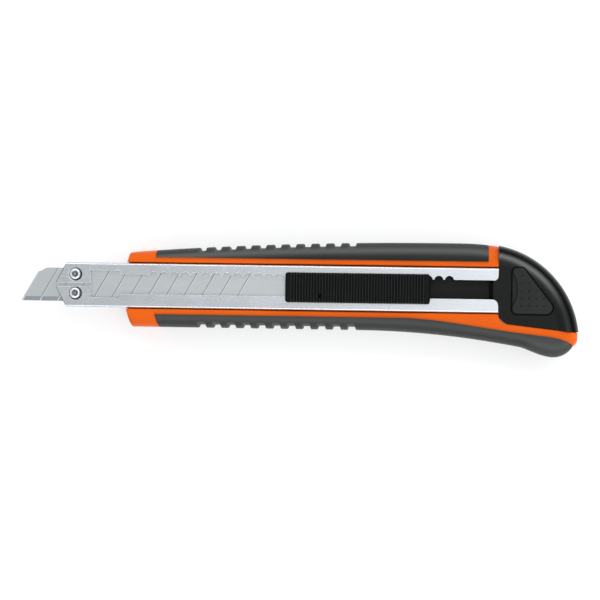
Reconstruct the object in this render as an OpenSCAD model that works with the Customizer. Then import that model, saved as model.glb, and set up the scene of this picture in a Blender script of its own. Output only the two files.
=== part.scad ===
// Utility knife with a snap-off blade in a folded steel channel, a moulded handle with soft grips,
// a thumb slider that locks in a row of notches, and an end cap that draws out a tray of spare blades.
// The handle lies on its flat back, at Z = 0. X runs from the blade's tip to the end cap, Y runs across
// the handle and Z runs up to the slider. The origin is on the back, under the channel's centre line.

/* [Blade] */
// Width of the blade, edge to back
blade_w = 9; // [8:0.1:11]
// Thickness of the blade
blade_t = 0.38; // [0.3:0.01:0.6]
// Length of a blade, from tip to tail
blade_len = 80; // [76:1:84]
// Distance from one snap line to the next
segment = 4.82; // [4:0.01:6]
// Angle of the tip and of the snap lines
snap_angle = 60; // [50:1:70]
// Length of blade that stands out of the nose
blade_out = 9.8; // [6:0.1:12]
// Diameter of the hole in the blade's tail
tail_hole_d = 2.1; // [1.6:0.1:3]

/* [Channel] */
// Thickness of the channel's sheet steel
sheet = 0.5; // [0.4:0.05:0.65]
// Depth of the channel, from its face to its back
channel_d = 3.4; // [3.2:0.1:4.2]
// Gap from the blade's edge to the channel's side
side_gap = 1.1; // [0.8:0.1:1.6]
// Length of channel that stands out of the handle
nose_len = 19.1; // [18:0.1:24]
// Width of the slit at the nose
slit_w = 1; // [0.6:0.1:1.4]
// Length of the window behind the nose
window_len = 8; // [4:0.1:9]
// Distance from one locking notch to the next
notch_pitch = 2.85; // [2.6:0.05:4]
// Radius of a locking notch
notch_r = 1.2; // [1:0.05:1.3]

/* [Handle] */
// Length of the handle, from its front end to the end cap
handle_len = 100.2; // [96:0.1:130]
// Thickness of the handle, from its flat back to the channel's face
handle_t = 11; // [10.4:0.1:16]
// Width of the coloured rail that shows beside the channel
rail_w = 1.4; // [0.8:0.1:2.5]
// Height of the upper grip over its rail
upper_grip_h = 4.9; // [4:0.01:7]
// Height of the lower grip under its rail, along its straight stretch
lower_grip_h = 3.5; // [3:0.1:5]
// Thickness of soft material outside the core
grip_t = 1.7; // [1.2:0.1:2]
// Radius of the bulge at the lower grip's rear
bulge_r = 6.1; // [5:0.1:7]

/* [Slider] */
// Length of the thumb slider
slider_len = 38.8; // [34:0.1:42]
// Height of the thumb slider's block over the channel's face
slider_h = 1.7; // [1.2:0.1:3]
// Distance from one cross rib to the next
rib_pitch = 0.77; // [0.6:0.01:1.5]
// Height of the cross ribs
rib_h = 0.6; // [0.3:0.1:1]

/* [End cap] */
// Radius of the end cap's outer arc
cap_r = 26.2; // [25:0.1:28]
// Height of the end cap over the channel's face
cap_rise = 0.6; // [0.2:0.1:1.5]
// Travel of the release button
button_travel = 1.2; // [0.8:0.1:1.3]

/* [Spare blades] */
// Thickness of the handle's floor under the tray
floor_t = 1.8; // [1.2:0.1:2.4]
// Thickness of the tray's floor and walls
tray_wall = 0.6; // [0.5:0.05:0.8]

/* [Fits] */
// Clearance between parts that slide on each other
slide_fit = 0.05; // [0.02:0.01:0.1]
// Clearance around parts that drop into a pocket
pocket_fit = 0.15; // [0.05:0.01:0.25]
// Dark seam between the channel and the handle
seam = 0.2; // [0.05:0.05:0.3]

/* [Hidden] */
$fn = 48;
past = 0.5; // how far a cut runs past the face it opens
handle_x = -47;
cap_x = handle_x + handle_len;
nose_x = handle_x - nose_len;
tip_x = nose_x - blade_out;
tail_x = tip_x + blade_len;

// Heights, from the channel's face down
flange_z = handle_t - sheet;
nose_plate_t = 0.3;
blade_top = flange_z - nose_plate_t - slide_fit;
blade_z = blade_top - blade_t;
channel_z = handle_t - channel_d;
bed_z = channel_z + sheet;

// Depth of the seam between the channel and the core
lip_d = 0.8;

// Half widths, from the channel's centre line out
inner_y = blade_w / 2 + side_gap;
outer_y = inner_y + sheet;
rail_y = outer_y + seam;
grip_y = rail_y + rail_w;
top_y = grip_y + upper_grip_h;
low_y = -grip_y - lower_grip_h;

// Radius of the channel's folds, outside
fold_r = 0.6;

// Slots in the channel's face
slot_low = -2.4;
slot_high = 2.7;
window_x = nose_x + 9.3;
narrow_x = window_x + window_len;
teeth_x = nose_x + 25;
rear_slot = 11.6;
notches = floor((cap_x - teeth_x - rear_slot) / notch_pitch);
notch_depth = 1.05;

// Nose
rivet_x = nose_x + 5.1;
rivet_ys = [2.9, -2.25];
rivet_d = 1.5;
rivet_head_d = 2.9;
rivet_head_h = 0.8;
rivet_seat_d = 3.9;
rivet_seat_t = 0.2;

// Slider group
slider_x = tail_x - 7.9;
slider_end = slider_x + slider_len;
slider_z = handle_t + 0.1;
slider_top = slider_z + slider_h;
runner_y = inner_y - 2 * pocket_fit;
neck_x = [tail_x + 1.9, slider_end - 3];
tenon_x = [neck_x[0] + 2, neck_x[1] - 2];
tenon_y = [-1.5, 1.2];
tenon_h = 0.9;
pin_x = tail_x - 3.4;
tooth_x = teeth_x + notch_pitch * (floor((slider_x + 21 - teeth_x) / notch_pitch) + 0.5);
tooth_y = slot_high + notch_depth - notch_r;
leaf_t = 0.25;
leaf_len = 16;
leaf_y = [1.35, 4.6];

// Channel screw
screw_x = handle_x + 2.3;
screw_r = 1;
screw_head_r = 1.9;
screw_len = 4.5;

// Tray
tray_y = blade_w / 2 + 0.15 + tray_wall;
tray_pocket_x = handle_x + 5;
tray_x = tray_pocket_x + 0.4;
tray_z = floor_t + pocket_fit;
tray_top = channel_z - 0.2;
tray_room_x = tray_x + tray_wall;
tray_block_x = tray_room_x + blade_len + 0.6;
hatch_x = cap_x - 19;
bridge_x = cap_x - 1.4;
hatch_y = blade_w / 2 + 0.1;
tang_y = 3;
tang_x = cap_x + 6.8;
tang_top = channel_z - 1.35 - button_travel;
spare_z = tray_z + tray_wall + 0.05;

// End cap
cap_top = handle_t + cap_rise;
cap_c = [cap_x - 4.6, top_y - 0.18 - cap_r];
cap_tip_angle = 6.6;
cap_front_angle = acos((cap_x - cap_c.x) / cap_r);
cap_tip = cap_c + cap_r * [cos(cap_tip_angle), sin(cap_tip_angle)];
cap_plate_z = cap_top - 3;
button_top = cap_top + 0.7;
button_flange_t = 1.3;
cavity_z = tang_top + 0.1;
hook_x = bridge_x - 0.7;
hook_top = bed_z - 0.1;
latch_z = channel_z - 1.25;
latch_t = 0.4;
latch_end_x = cap_x + 16;
latch_y = 1.9;

// ---- Curves ----

// Points on an arc with centre c and radius r, from angle a0 to angle a1
function arc(c, r, a0, a1, n = 16) =
    [for (i = [0:n]) let (a = a0 + (a1 - a0) * i / n) c + r * [cos(a), sin(a)]];

// Points on a cubic curve that leaves a towards b and reaches d from c
function curve(a, b, c, d, n = 14) =
    [for (i = [0:n]) let (t = i / n, s = 1 - t) s*s*s*a + 3*s*s*t*b + 3*s*t*t*c + t*t*t*d];

function unit(v) = v / norm(v);

// 1 where an outline turns left at q, -1 where it turns right
function turn(p, q, s) = sign((q.x - p.x) * (s.y - q.y) - (q.y - p.y) * (s.x - q.x));

// One corner q between p and s, moved out by grow and rounded to radius r
function corner(p, q, s, r, grow, n) =
    let (a = unit(p - q), b = unit(s - q), half = acos(a * b) / 2, m = unit(a + b),
         side = turn(p, q, s), moved = q - m * side * grow / sin(half),
         round_r = max(r + side * grow, 0.01), c = moved + m * round_r / sin(half),
         v = moved + a * round_r / tan(half) - c, a0 = atan2(v.y, v.x))
    arc(c, round_r, a0, a0 + side * (180 - 2 * half), n);

// An outline, given counter-clockwise, with corner i rounded to radius radii[i]
function rounded(points, radii, grow = 0, n = 8) =
    let (k = len(points))
    [for (i = [0:k-1]) each corner(points[(i + k - 1) % k], points[i], points[(i + 1) % k],
                                   radii[i], grow, n)];

// ---- Outlines of the handle, drawn in the XY plane ----

// The back of the handle is a shallow arc that runs into the end cap's arc
back_r = 1020;
back_x = cap_x - 15.2;
function back_y(x) = top_y - pow(x - back_x, 2) / (2 * back_r);
function back_edge(inset) = concat(
    [for (i = [0:14]) let (x = handle_x + 1.2 + (back_x + 1 - handle_x) * i / 14) [x, back_y(x) - inset]],
    curve([back_x + 4, top_y - inset], [back_x + 9, top_y - inset],
          [cap_x - 2.6, top_y - 0.3 - inset], [cap_x, top_y - 0.82 - inset], 6));

// The belly is straight, then a parabola, then the bulge behind the palm
bulge_c = [cap_x + 14.8, low_y - 0.4];
belly_x = cap_x - 37.2;
belly_drop = 0.0021;
function belly_y(x) = low_y - belly_drop * pow(max(x - belly_x, 0), 2);
dip_x = cap_x + 5.8;
function belly_edge(inset) = concat(
    [[handle_x + 7, low_y + inset]],
    [for (i = [0:12]) let (x = belly_x + (dip_x - belly_x) * i / 12) [x, belly_y(x) + inset]],
    curve([dip_x, belly_y(dip_x) + inset], [dip_x + 2, belly_y(dip_x) - 0.36 + inset],
          bulge_c + [-3.2, inset - bulge_r], bulge_c + [0, inset - bulge_r], 10),
    arc(bulge_c, bulge_r - inset, -88, -30, 12));

// The upper edge of the lower grip, which the coloured tail strip follows
tail_mid = [dip_x, -grip_y - 3.6];
tail_end = [cap_x + 20.1, low_y - 3.2];
function lower_seam() = concat(
    [[handle_x + 7.4, -grip_y], [cap_x - 26.2, -grip_y]],
    curve([cap_x - 26.2, -grip_y], [cap_x - 16.2, -grip_y], tail_mid + [-11, 1.3], tail_mid, 12),
    curve(tail_mid, tail_mid + [7, -0.8], tail_end + [-2.8, 2.2], tail_end, 8));

function flip(points) = [for (i = [len(points)-1:-1:0]) points[i]];

// The end cap meets the core along its left edge, a rounded corner and a line to the tip
cap_heel = [cap_x, cap_tip.y + 2.35];
function cap_seam(gap) = concat(
    [[cap_x - gap, top_y + 1]],
    corner([cap_x - gap, top_y], [cap_heel.x - gap, cap_heel.y - gap],
           [cap_tip.x + 1, cap_tip.y - gap], 3, 0, 8),
    [[cap_tip.x + 1, cap_tip.y - 0.1 - gap]]);

module slab(points, z0, z1) translate([0, 0, z0]) linear_extrude(z1 - z0) polygon(points);

module box(x, y, z) translate([x[0], y[0], z[0]]) cube([x[1] - x[0], y[1] - y[0], z[1] - z[0]]);

module hole(x, y, z0, z1, r) translate([x, y, z0]) cylinder(h = z1 - z0, r = r);

// A profile in the XZ plane, carried along Y from -half to half
module along_y(points, half) {
    translate([0, half, 0]) rotate([90, 0, 0]) linear_extrude(2 * half) polygon(points);
}

// ---- Grips ----

groove_pitch = 4.05;
groove_x = handle_x + 20.4;
groove_count = 11;
groove_depth = 0.8;

// Grooves cut into an outer edge; side is 1 for the back and -1 for the belly
module grooves(side) {
    for (i = [0:groove_count-1]) {
        x = groove_x + i * groove_pitch;
        y = side > 0 ? back_y(x) : low_y;
        slab([[x - 1.1, y + side], [x - 1.1, y], [x - 0.8, y - side * groove_depth],
              [x + 0.8, y - side * groove_depth], [x + 1.1, y], [x + 1.1, y + side]],
             -past, handle_t + 2);
    }
}

grip_top = handle_t + 0.5;
grip_front = handle_x + 8;
grip_rear = cap_x - 2.7;

module upper_grip_zone(z0, z1) intersection() {
    slab(concat(back_edge(0), [[cap_x, 0], [handle_x, 0]]), z0, z1);
    box([grip_front, grip_rear], [grip_y, top_y + 1], [z0, z1]);
}

module lower_grip_zone(z0, z1) intersection() {
    slab(concat(lower_seam(), flip(belly_edge(0))), z0, z1);
    slab([[grip_front - 0.6, -grip_y + 1], [grip_front + 0.8, low_y], [grip_front + 0.8, low_y - bulge_r],
          [cap_x + 24, low_y - bulge_r - 2], [cap_x + 24, 0]], z0, z1);
}

// Ribs of the core that run inside the soft grips and hold them
tongue_z = [grip_t, handle_t - grip_t];

module upper_tongue() intersection() {
    slab(concat(back_edge(grip_t), [[cap_x, 0], [handle_x, 0]]), tongue_z[0], tongue_z[1]);
    box([grip_front - 1, grip_rear + 1], [grip_y - 0.5, top_y], tongue_z);
}

module lower_tongue() intersection() {
    slab(concat([[handle_x + 7, -rail_y], [cap_x + 8, tail_mid.y + 0.6]], flip(belly_edge(grip_t))),
         tongue_z[0], tongue_z[1]);
    box([grip_front - 1, cap_x + 14], [low_y - bulge_r, -grip_y + 0.5], tongue_z);
}

module upper_grip() color("#4b4d4c") difference() {
    upper_grip_zone(0, grip_top);
    upper_tongue();
    grooves(1);
}

module lower_grip() color("#4b4d4c") difference() {
    lower_grip_zone(0, grip_top);
    lower_tongue();
    grooves(-1);
}

// ---- Core ----

module screw_form() {
    translate([screw_x, 0, bed_z - screw_head_r + screw_r])
        cylinder(h = screw_head_r - screw_r, r1 = screw_r, r2 = screw_head_r);
    hole(screw_x, 0, bed_z - screw_len, bed_z - screw_head_r + screw_r, screw_r);
}

module core_outline(z0, z1) difference() {
    slab(concat([[handle_x - 0.4, -rail_y], [handle_x + 0.1, rail_y],
                 [handle_x + 0.8, back_y(handle_x) - 0.4], [handle_x + 1, back_y(handle_x) - 0.1]],
                back_edge(0), [[cap_x, cap_heel.y], [cap_tip.x, cap_tip.y - 0.1], tail_end + [0.9, 0.3]],
                flip(belly_edge(0)),
                curve([handle_x + 1.8, low_y], [handle_x + 1.1, low_y],
                      [handle_x + 0.2, low_y + 2.6], [handle_x - 0.4, -rail_y], 6)), z0, z1);
    slab(concat(cap_seam(0.1), [[cap_tip.x + 1, top_y + 1]]), z0 - past, z1 + past);
}

module handle_core() color("#e8661f") difference() {
    union() {
        difference() {
            core_outline(0, handle_t);
            upper_grip_zone(-past, handle_t + past);
            lower_grip_zone(-past, handle_t + past);
        }
        upper_tongue();
        lower_tongue();
    }
    box([handle_x - 1, cap_x + past], [-outer_y, outer_y], [channel_z, handle_t - lip_d]);
    box([handle_x - 1, cap_x + past], [-rail_y, rail_y], [handle_t - lip_d, handle_t + past]);
    box([tray_pocket_x, cap_x + past], [-tray_y - pocket_fit, tray_y + pocket_fit],
        [floor_t, channel_z + past]);
    screw_form();
}

// ---- Channel ----

module channel_section() {
    r = fold_r;
    polygon(concat([[-outer_y, channel_z], [outer_y, channel_z]],
                   arc([outer_y - r, handle_t - r], r, 0, 90, 8),
                   arc([r - outer_y, handle_t - r], r, 90, 180, 8)));
}

// A section in the YZ plane, carried along X
module along_x(x0, x1) {
    translate([x0, 0, 0]) rotate([90, 0, 90]) linear_extrude(x1 - x0) children();
}

nose_flat = 0.9;
nose_slope = 2.5;

module nose_outline(z0, z1) {
    slab([[nose_x, -nose_flat], [nose_x + nose_slope, -outer_y + 0.5], [nose_x + nose_slope + 0.2, -outer_y],
          [cap_x, -outer_y], [cap_x, outer_y], [nose_x + nose_slope + 0.2, outer_y],
          [nose_x + nose_slope, outer_y - 0.5], [nose_x, nose_flat]], z0, z1);
}

module channel_slots() {
    z0 = bed_z + 0.5;
    z1 = handle_t + past;
    box([nose_x - 1, window_x + past], [-slit_w / 2, slit_w / 2], [z0, z1]);
    slab(rounded([[window_x, slot_low - 1], [narrow_x, slot_low - 1],
                  [narrow_x, slot_high + 1.25], [window_x, slot_high + 1.25]],
                 [0.5, 0.3, 0.3, 0.5]), z0, z1);
    box([narrow_x - past, teeth_x], [slot_low, slot_high + 0.25], [z0, z1]);
    box([teeth_x - past, cap_x + past], [slot_low, slot_high], [z0, z1]);
    for (i = [0:notches-1])
        hole(teeth_x + (i + 0.5) * notch_pitch, tooth_y, z0, z1, notch_r);
    // The flanges end in rounded corners at the end cap
    for (end = [[slot_high, 1.2, 1], [slot_low, 1.7, -1]]) {
        r = end[1];
        difference() {
            box([cap_x - r, cap_x + past],
                end[2] > 0 ? [end[0] - past, end[0] + r] : [end[0] - r, end[0] + past], [z0, z1]);
            hole(cap_x - r, end[0] + end[2] * r, z0 - past, z1 + past, r);
        }
    }
}

module blade_channel() color("#c9ced4") difference() {
    intersection() {
        along_x(nose_x, cap_x) channel_section();
        nose_outline(channel_z - past, handle_t + past);
    }
    box([nose_x - 1, cap_x + past], [-inner_y, inner_y], [bed_z, flange_z]);
    channel_slots();
    box([hatch_x, bridge_x], [-hatch_y, hatch_y], [channel_z - past, bed_z + past]);
    for (y = rivet_ys) {
        hole(rivet_x, y, flange_z - past, handle_t + past, rivet_d / 2);
        // Dished seat round the rivet's head
        translate([rivet_x, y, handle_t - rivet_seat_t])
            cylinder(h = rivet_seat_t + 0.01, r1 = rivet_head_d / 2, r2 = rivet_seat_d / 2);
    }
    screw_form();
}

// ---- Nose ----

module nose_plate_outline(side) {
    y0 = slit_w / 2 + 0.3;
    y1 = inner_y - pocket_fit;
    points = [[nose_x + 0.9, y0], [window_x - 0.8, y0], [window_x - 0.8, y1], [nose_x + 3.3, y1]];
    radii = [0.3, 0.8, 0.8, 0.8];
    mirror([0, side > 0 ? 0 : 1, 0])
        slab(rounded(points, radii), flange_z - nose_plate_t, flange_z);
}

module nose_plate(side, rivet_y) color("#b9bec4") difference() {
    nose_plate_outline(side);
    hole(rivet_x, rivet_y, flange_z - 1, flange_z + past, rivet_d / 2);
}

module upper_nose_plate() nose_plate(1, rivet_ys[0]);

module lower_nose_plate() nose_plate(-1, rivet_ys[1]);

module nose_guide() color("#8d9196") {
    y = inner_y - slide_fit;
    slab(rounded([[nose_x + 2.4, -y + 2], [nose_x + 3.4, -y], [window_x - 0.8, -y],
                  [window_x - 0.8, y], [nose_x + 3.4, y], [nose_x + 2.4, y - 2]],
                 [0.5, 0.3, 0.4, 0.4, 0.3, 0.5]), bed_z, blade_z - slide_fit);
}

// An eyelet rivet: a shank through flange and plate, and a domed head with a dished centre
module nose_rivets() color("#d5d8db") for (y = rivet_ys) translate([rivet_x, y, 0]) {
    r = rivet_head_d / 2;
    translate([0, 0, flange_z - nose_plate_t]) cylinder(h = sheet + nose_plate_t, r = rivet_d / 2);
    translate([0, 0, handle_t - rivet_seat_t]) rotate_extrude() polygon(concat(
        [[0, 0], [r, 0]], curve([r, 0.12], [r, 0.6], [r - 0.25, rivet_head_h], [0.8, rivet_head_h], 6),
        [[0.7, rivet_head_h - 0.25], [0, rivet_head_h - 0.35]]));
}

module channel_screw() color("#6f7378") difference() {
    screw_form();
    box([screw_x - 1.2, screw_x + 1.2], [-0.2, 0.2], [bed_z - 0.5, bed_z + past]);
    box([screw_x - 0.2, screw_x + 0.2], [-1.2, 1.2], [bed_z - 0.5, bed_z + past]);
}

// ---- Blades ----

score_w = 0.16;
score_d = 0.08;
bevel_w = 1.2;

// A blade with its tip at x and its underside at z, snap lines scored in its upper face
module blade(x, z) {
    y = blade_w / 2;
    lean = 1 / tan(snap_angle);
    lines = floor((blade_len - 16) / segment);
    difference() {
        intersection() {
            along_x(x, x + blade_len)
                polygon([[-y, z + blade_t / 2], [-y + bevel_w, z], [y, z], [y, z + blade_t],
                         [-y + bevel_w, z + blade_t]]);
            slab([[x, -y], [x + blade_len, -y], [x + blade_len, y], [x + 2 * y * lean + 1.6, y],
                  [x + (2 * y - 0.9) * lean + 0.7, y - 0.85], [x + (2 * y - 1) * lean, y - 1]],
                 z - 1, z + 1);
        }
        for (i = [1:lines])
            translate([x + y * lean + i * segment, 0, z + blade_t - score_d])
                rotate([0, 0, snap_angle - 90])
                    box([-score_w / 2, score_w / 2], [-y - 3, y + 3], [0, 1]);
        hole(x + blade_len - 3.4, 0, z - 1, z + 1, tail_hole_d / 2);
    }
}

module snap_blade() color("#b8bcc0") blade(tip_x, blade_z);

module spare_blade(i) color("#aab0b6") blade(tray_room_x + 0.3, spare_z + i * (blade_t + 0.02));

module spare_blade_1() spare_blade(0);

module spare_blade_2() spare_blade(1);

module spare_blade_3() spare_blade(2);

// ---- Slider group ----

module blade_carrier() color("#26282a") {
    z0 = bed_z + slide_fit;
    difference() {
        union() {
            box([slider_x, tail_x + 0.4], [-runner_y, runner_y], [z0, blade_z - slide_fit]);
            box([tail_x + 0.3, slider_end - 0.8], [-runner_y, runner_y], [z0, flange_z - slide_fit]);
            box(neck_x, [slot_low + 0.2, slot_high - 0.4], [flange_z - 0.1, slider_z]);
            box(tenon_x, tenon_y, [slider_z - 0.1, slider_z + tenon_h]);
        }
        // Bed for the lock spring
        box([tooth_x - leaf_len / 2 - 0.2, tooth_x + leaf_len / 2 + 0.2],
            [leaf_y[0] - pocket_fit, leaf_y[1] + pocket_fit],
            [flange_z - 0.8, slider_z + past]);
        hole(pin_x, 0, z0 - past, blade_z + past, tail_hole_d / 2 - slide_fit);
    }
}

module carrier_pin() color("#9a9fa5") {
    z0 = bed_z + slide_fit;
    hole(pin_x, 0, z0, blade_top + 0.25, tail_hole_d / 2 - slide_fit);
}

module thumb_slider() color("#202122") {
    y0 = slot_low - 1.55;
    y1 = slot_high + 1.4;
    margin = 1.25;
    ribs = floor((slider_len - 2 * margin) / rib_pitch);
    difference() {
        union() {
            slab(rounded([[slider_x, y0], [slider_end, y0], [slider_end, y1], [slider_x, y1]],
                         [0.7, 0.7, 0.7, 0.7]), slider_z, slider_top);
            // Toe that closes the notch in front of the block
            slab([[slider_end - 1, y1 - 0.6], [slider_end - 1, slot_high - 0.5],
                  [slider_end + 0.9, slot_high - 0.5], [slider_end + 0.9, slot_high - 0.1]],
                 slider_z, slider_z + slider_h / 2);
            for (i = [0:ribs-1])
                translate([slider_x + margin + (i + 0.5) * rib_pitch, (y0 + y1) / 2, slider_top])
                    along_y([[-rib_pitch * 0.36, -0.1], [rib_pitch * 0.36, -0.1], [rib_pitch * 0.18, rib_h],
                             [-rib_pitch * 0.18, rib_h]], (y1 - y0) / 2 - 0.2);
        }
        box(tenon_x + [-slide_fit, slide_fit], tenon_y + [-slide_fit, slide_fit],
            [slider_z - past, slider_z + tenon_h + slide_fit]);
        // Ejector mark
        hole(slider_x + 9.6, slot_low + 0.2, slider_top - 0.6, slider_top + rib_h + 1, 0.6);
    }
}

// A leaf whose ends turn down into the carrier's bed, with a round tooth that stands in a notch
module lock_spring() color("#c3a766") {
    z = flange_z - 0.75;
    half = leaf_len / 2;
    union() {
        translate([tooth_x, (leaf_y[0] + leaf_y[1]) / 2, 0])
            along_y([[-half, z], [half, z], [half - 2, z + leaf_t + 0.2], [2 - half, z + leaf_t + 0.2]],
                    (leaf_y[1] - leaf_y[0]) / 2);
        hole(tooth_x, tooth_y, z + 0.1, handle_t - 0.05, notch_r - 0.2);
    }
}

// ---- Tray ----

module magazine_tray() color("#2a2c2d") difference() {
    union() {
        box([tray_x, bridge_x - 1.1], [-tray_y, tray_y], [tray_z, tray_top]);
        box([bridge_x - 1.2, tang_x], [-tang_y, tang_y], [tray_z, tang_top]);
    }
    // Room for the spare blades, open to the channel's back for most of its length
    box([tray_room_x, tray_block_x], [tray_wall - tray_y, tray_y - tray_wall],
        [tray_z + tray_wall, tray_top - 0.5]);
    box([tray_room_x, hatch_x], [tray_wall - tray_y, tray_y - tray_wall],
        [tray_top - 0.6, tray_top + past]);
    // Slot that holds the clip's root
    clip_root();
}

clip_len = 34;
clip_z = spare_z + 3 * (blade_t + 0.02) + 0.05;
clip_rise = 1;
clip_y = 2.5;

module clip_root() {
    box([tray_block_x - 0.1, tray_block_x + 3], [-clip_y, clip_y],
        [clip_z + clip_rise, clip_z + clip_rise + leaf_t]);
}

// A sloping leaf whose curled tip rests on the uppermost spare blade
module blade_clip() color("#b3b8bd") {
    root = tray_block_x;
    clip_root();
    along_y([[root, clip_z + clip_rise], [root, clip_z + clip_rise + leaf_t],
             [root - clip_len, clip_z + leaf_t], [root - clip_len - 1.5, clip_z + leaf_t + 0.5],
             [root - clip_len - 1.6, clip_z + 0.4], [root - clip_len, clip_z]], clip_y);
}

// ---- End cap ----

button_points = [[cap_x + 3.6, -6.2], [cap_x + 16.4, -6.2], [cap_x + 6.6, 6.2], [cap_x + 3.6, 6.2]];
button_radii = [1.3, 1.78, 1.6, 1.3];
scallop_r = 8.9;
scallop_d = 0.4;

module button_form(grow, z0, z1) slab(rounded(button_points, button_radii, grow), z0, z1);

module cap_outline(z0, z1) slab(concat(
    arc(cap_c, cap_r, cap_tip_angle, cap_front_angle, 28),
    corner([cap_x, top_y], cap_heel, cap_tip, 3, 0, 8)), z0, z1);

// The dome that rounds the cap's outer arc, front and back
module cap_dome() translate([cap_c.x, cap_c.y, 0]) rotate_extrude($fn = 160)
    polygon(concat([[0, 0]], curve([cap_r - 1.2, 0], [cap_r - 0.3, 0], [cap_r, 0.6], [cap_r, 1.6], 6),
                   curve([cap_r, cap_top - 3], [cap_r, cap_top - 0.9], [cap_r - 0.8, cap_top],
                         [cap_r - 2.2, cap_top], 8),
                   [[0, cap_top]]));

module end_cap() color("#303132") difference() {
    union() {
        intersection() {
            cap_outline(0, cap_top);
            cap_dome();
        }
        // Tongue between the ends of the flanges
        box([bridge_x + 0.1, cap_x + past], [slot_low + 0.2, slot_high - 0.2], [bed_z + 0.2, handle_t]);
    }
    button_form(pocket_fit, cap_plate_z - past, cap_top + past);
    // Cavity for the button's flange and the latch spring
    slab(rounded(button_points, button_radii, 1.1), cavity_z, cap_plate_z);
    box([cap_x - past, cap_x + 5], [-latch_y - 0.3, latch_y + 0.3], [cavity_z, latch_z + latch_t + 0.3]);
    box([cap_x - 2 * past, tang_x + pocket_fit], [-tang_y - slide_fit, tang_y + slide_fit],
        [tray_z - slide_fit, tang_top + slide_fit]);
    box([cap_x + 8, latch_end_x], [-latch_y, latch_y], [latch_z, latch_z + latch_t]);
}

module release_button() color("#3a3b3c") difference() {
    union() {
        button_form(0, cap_plate_z - 0.2, button_top);
        button_form(0.7, cap_plate_z - button_flange_t, cap_plate_z - slide_fit);
        box([cap_x + 4.2, cap_x + 7], [-latch_y, latch_y],
            [latch_z + latch_t + slide_fit, cap_plate_z - button_flange_t + 0.1]);
    }
    // Scallop along the front edge, where a fingertip catches
    hole(cap_x + 5.15 - scallop_r, 0.4, button_top - scallop_d, button_top + past, scallop_r);
    // Dimples in rows that widen towards the button's foot
    for (row = [[0, 1, 4], [1, 2, 2], [2, 3, 0], [3, 4, -2], [3, 4, -4]], i = [0:row[1]-1])
        hole(cap_x + 6.1 + 2 * i, row[2], button_top - 0.3, button_top + 1, 0.42);
}

// One leaf: rooted in the cap, it lifts the button, and its hook stands in the channel's hatch
module latch_spring() color("#b3b8bd") {
    along_y([[latch_end_x, latch_z], [latch_end_x, latch_z + latch_t],
             [hook_x + latch_t, latch_z + latch_t], [hook_x + latch_t, hook_top],
             [hook_x, hook_top - 0.3], [hook_x, latch_z]], latch_y);
}

handle_core();
upper_grip();
lower_grip();
blade_channel();
upper_nose_plate();
lower_nose_plate();
nose_guide();
nose_rivets();
channel_screw();
snap_blade();
blade_carrier();
carrier_pin();
thumb_slider();
lock_spring();
magazine_tray();
spare_blade_1();
spare_blade_2();
spare_blade_3();
blade_clip();
end_cap();
release_button();
latch_spring();
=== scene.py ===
"""Looks of a snap-off utility knife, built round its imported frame.

The frame gives every place: each class reads the boxes of the nodes that it dresses, works its surfaces
out in millimetres with numpy, and puts them into meshes in metres.
"""

import logging
import math
from dataclasses import dataclass
from enum import Enum
from typing import Sequence

import bmesh
import bpy
import numpy as np
from mathutils import Matrix, Vector


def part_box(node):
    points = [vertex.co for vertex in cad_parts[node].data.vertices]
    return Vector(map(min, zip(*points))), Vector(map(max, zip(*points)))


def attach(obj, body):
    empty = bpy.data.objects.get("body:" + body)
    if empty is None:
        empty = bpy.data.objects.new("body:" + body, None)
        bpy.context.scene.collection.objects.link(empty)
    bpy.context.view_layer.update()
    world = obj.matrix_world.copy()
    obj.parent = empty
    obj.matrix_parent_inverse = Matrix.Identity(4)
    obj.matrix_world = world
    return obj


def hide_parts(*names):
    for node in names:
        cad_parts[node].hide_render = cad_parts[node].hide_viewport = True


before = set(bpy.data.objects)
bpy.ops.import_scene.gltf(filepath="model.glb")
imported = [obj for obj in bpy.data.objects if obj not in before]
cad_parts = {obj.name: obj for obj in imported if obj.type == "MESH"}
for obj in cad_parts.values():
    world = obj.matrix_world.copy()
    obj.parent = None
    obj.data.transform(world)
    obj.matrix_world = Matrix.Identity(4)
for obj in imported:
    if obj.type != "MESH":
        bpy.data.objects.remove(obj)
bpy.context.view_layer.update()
LOG = logging.getLogger("utility_knife")
MM = 0.001


# ---- Numbers and curves ----


@dataclass(frozen=True)
class Box:
    """Lowest and highest corner of a node, in millimetres."""

    lo: np.ndarray
    hi: np.ndarray


def node_box(name: str) -> Box:
    """Reads a node's box from the frame.

    Args:
        name: the CAD node.

    Returns:
        Its box in millimetres.
    """
    lo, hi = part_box(name)
    return Box(np.array(lo) / MM, np.array(hi) / MM)


def smooth(t: np.ndarray | float) -> np.ndarray:
    """Eases from 0 to 1: 3t^2 - 2t^3 with t held between 0 and 1.

    Args:
        t: position along the step.

    Returns:
        The eased value.
    """
    t = np.clip(t, 0.0, 1.0)
    return t * t * (3.0 - 2.0 * t)


def bezier(points: Sequence[Sequence[float]], count: int = 40) -> np.ndarray:
    """A cubic through its first and last control point: the Bernstein sum of four points.

    Args:
        points: four control points (x, y).
        count: how many points to return.

    Returns:
        Points along the curve, shape (count, 2).
    """
    a, b, c, d = (np.array(p, float) for p in points)
    t = np.linspace(0.0, 1.0, count)[:, None]
    s = 1.0 - t
    return s**3 * a + 3 * s * s * t * b + 3 * s * t * t * c + t**3 * d


def stations(*stretches: tuple[float, float, float]) -> np.ndarray:
    """Stations along X, with their own spacing in each stretch.

    Args:
        stretches: (start, end, spacing) in millimetres, one after another.

    Returns:
        The sorted stations.
    """
    parts = [np.linspace(a, b, max(2, int(round((b - a) / step)) + 1)) for a, b, step in stretches]
    return np.unique(np.round(np.concatenate(parts), 5))


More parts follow.
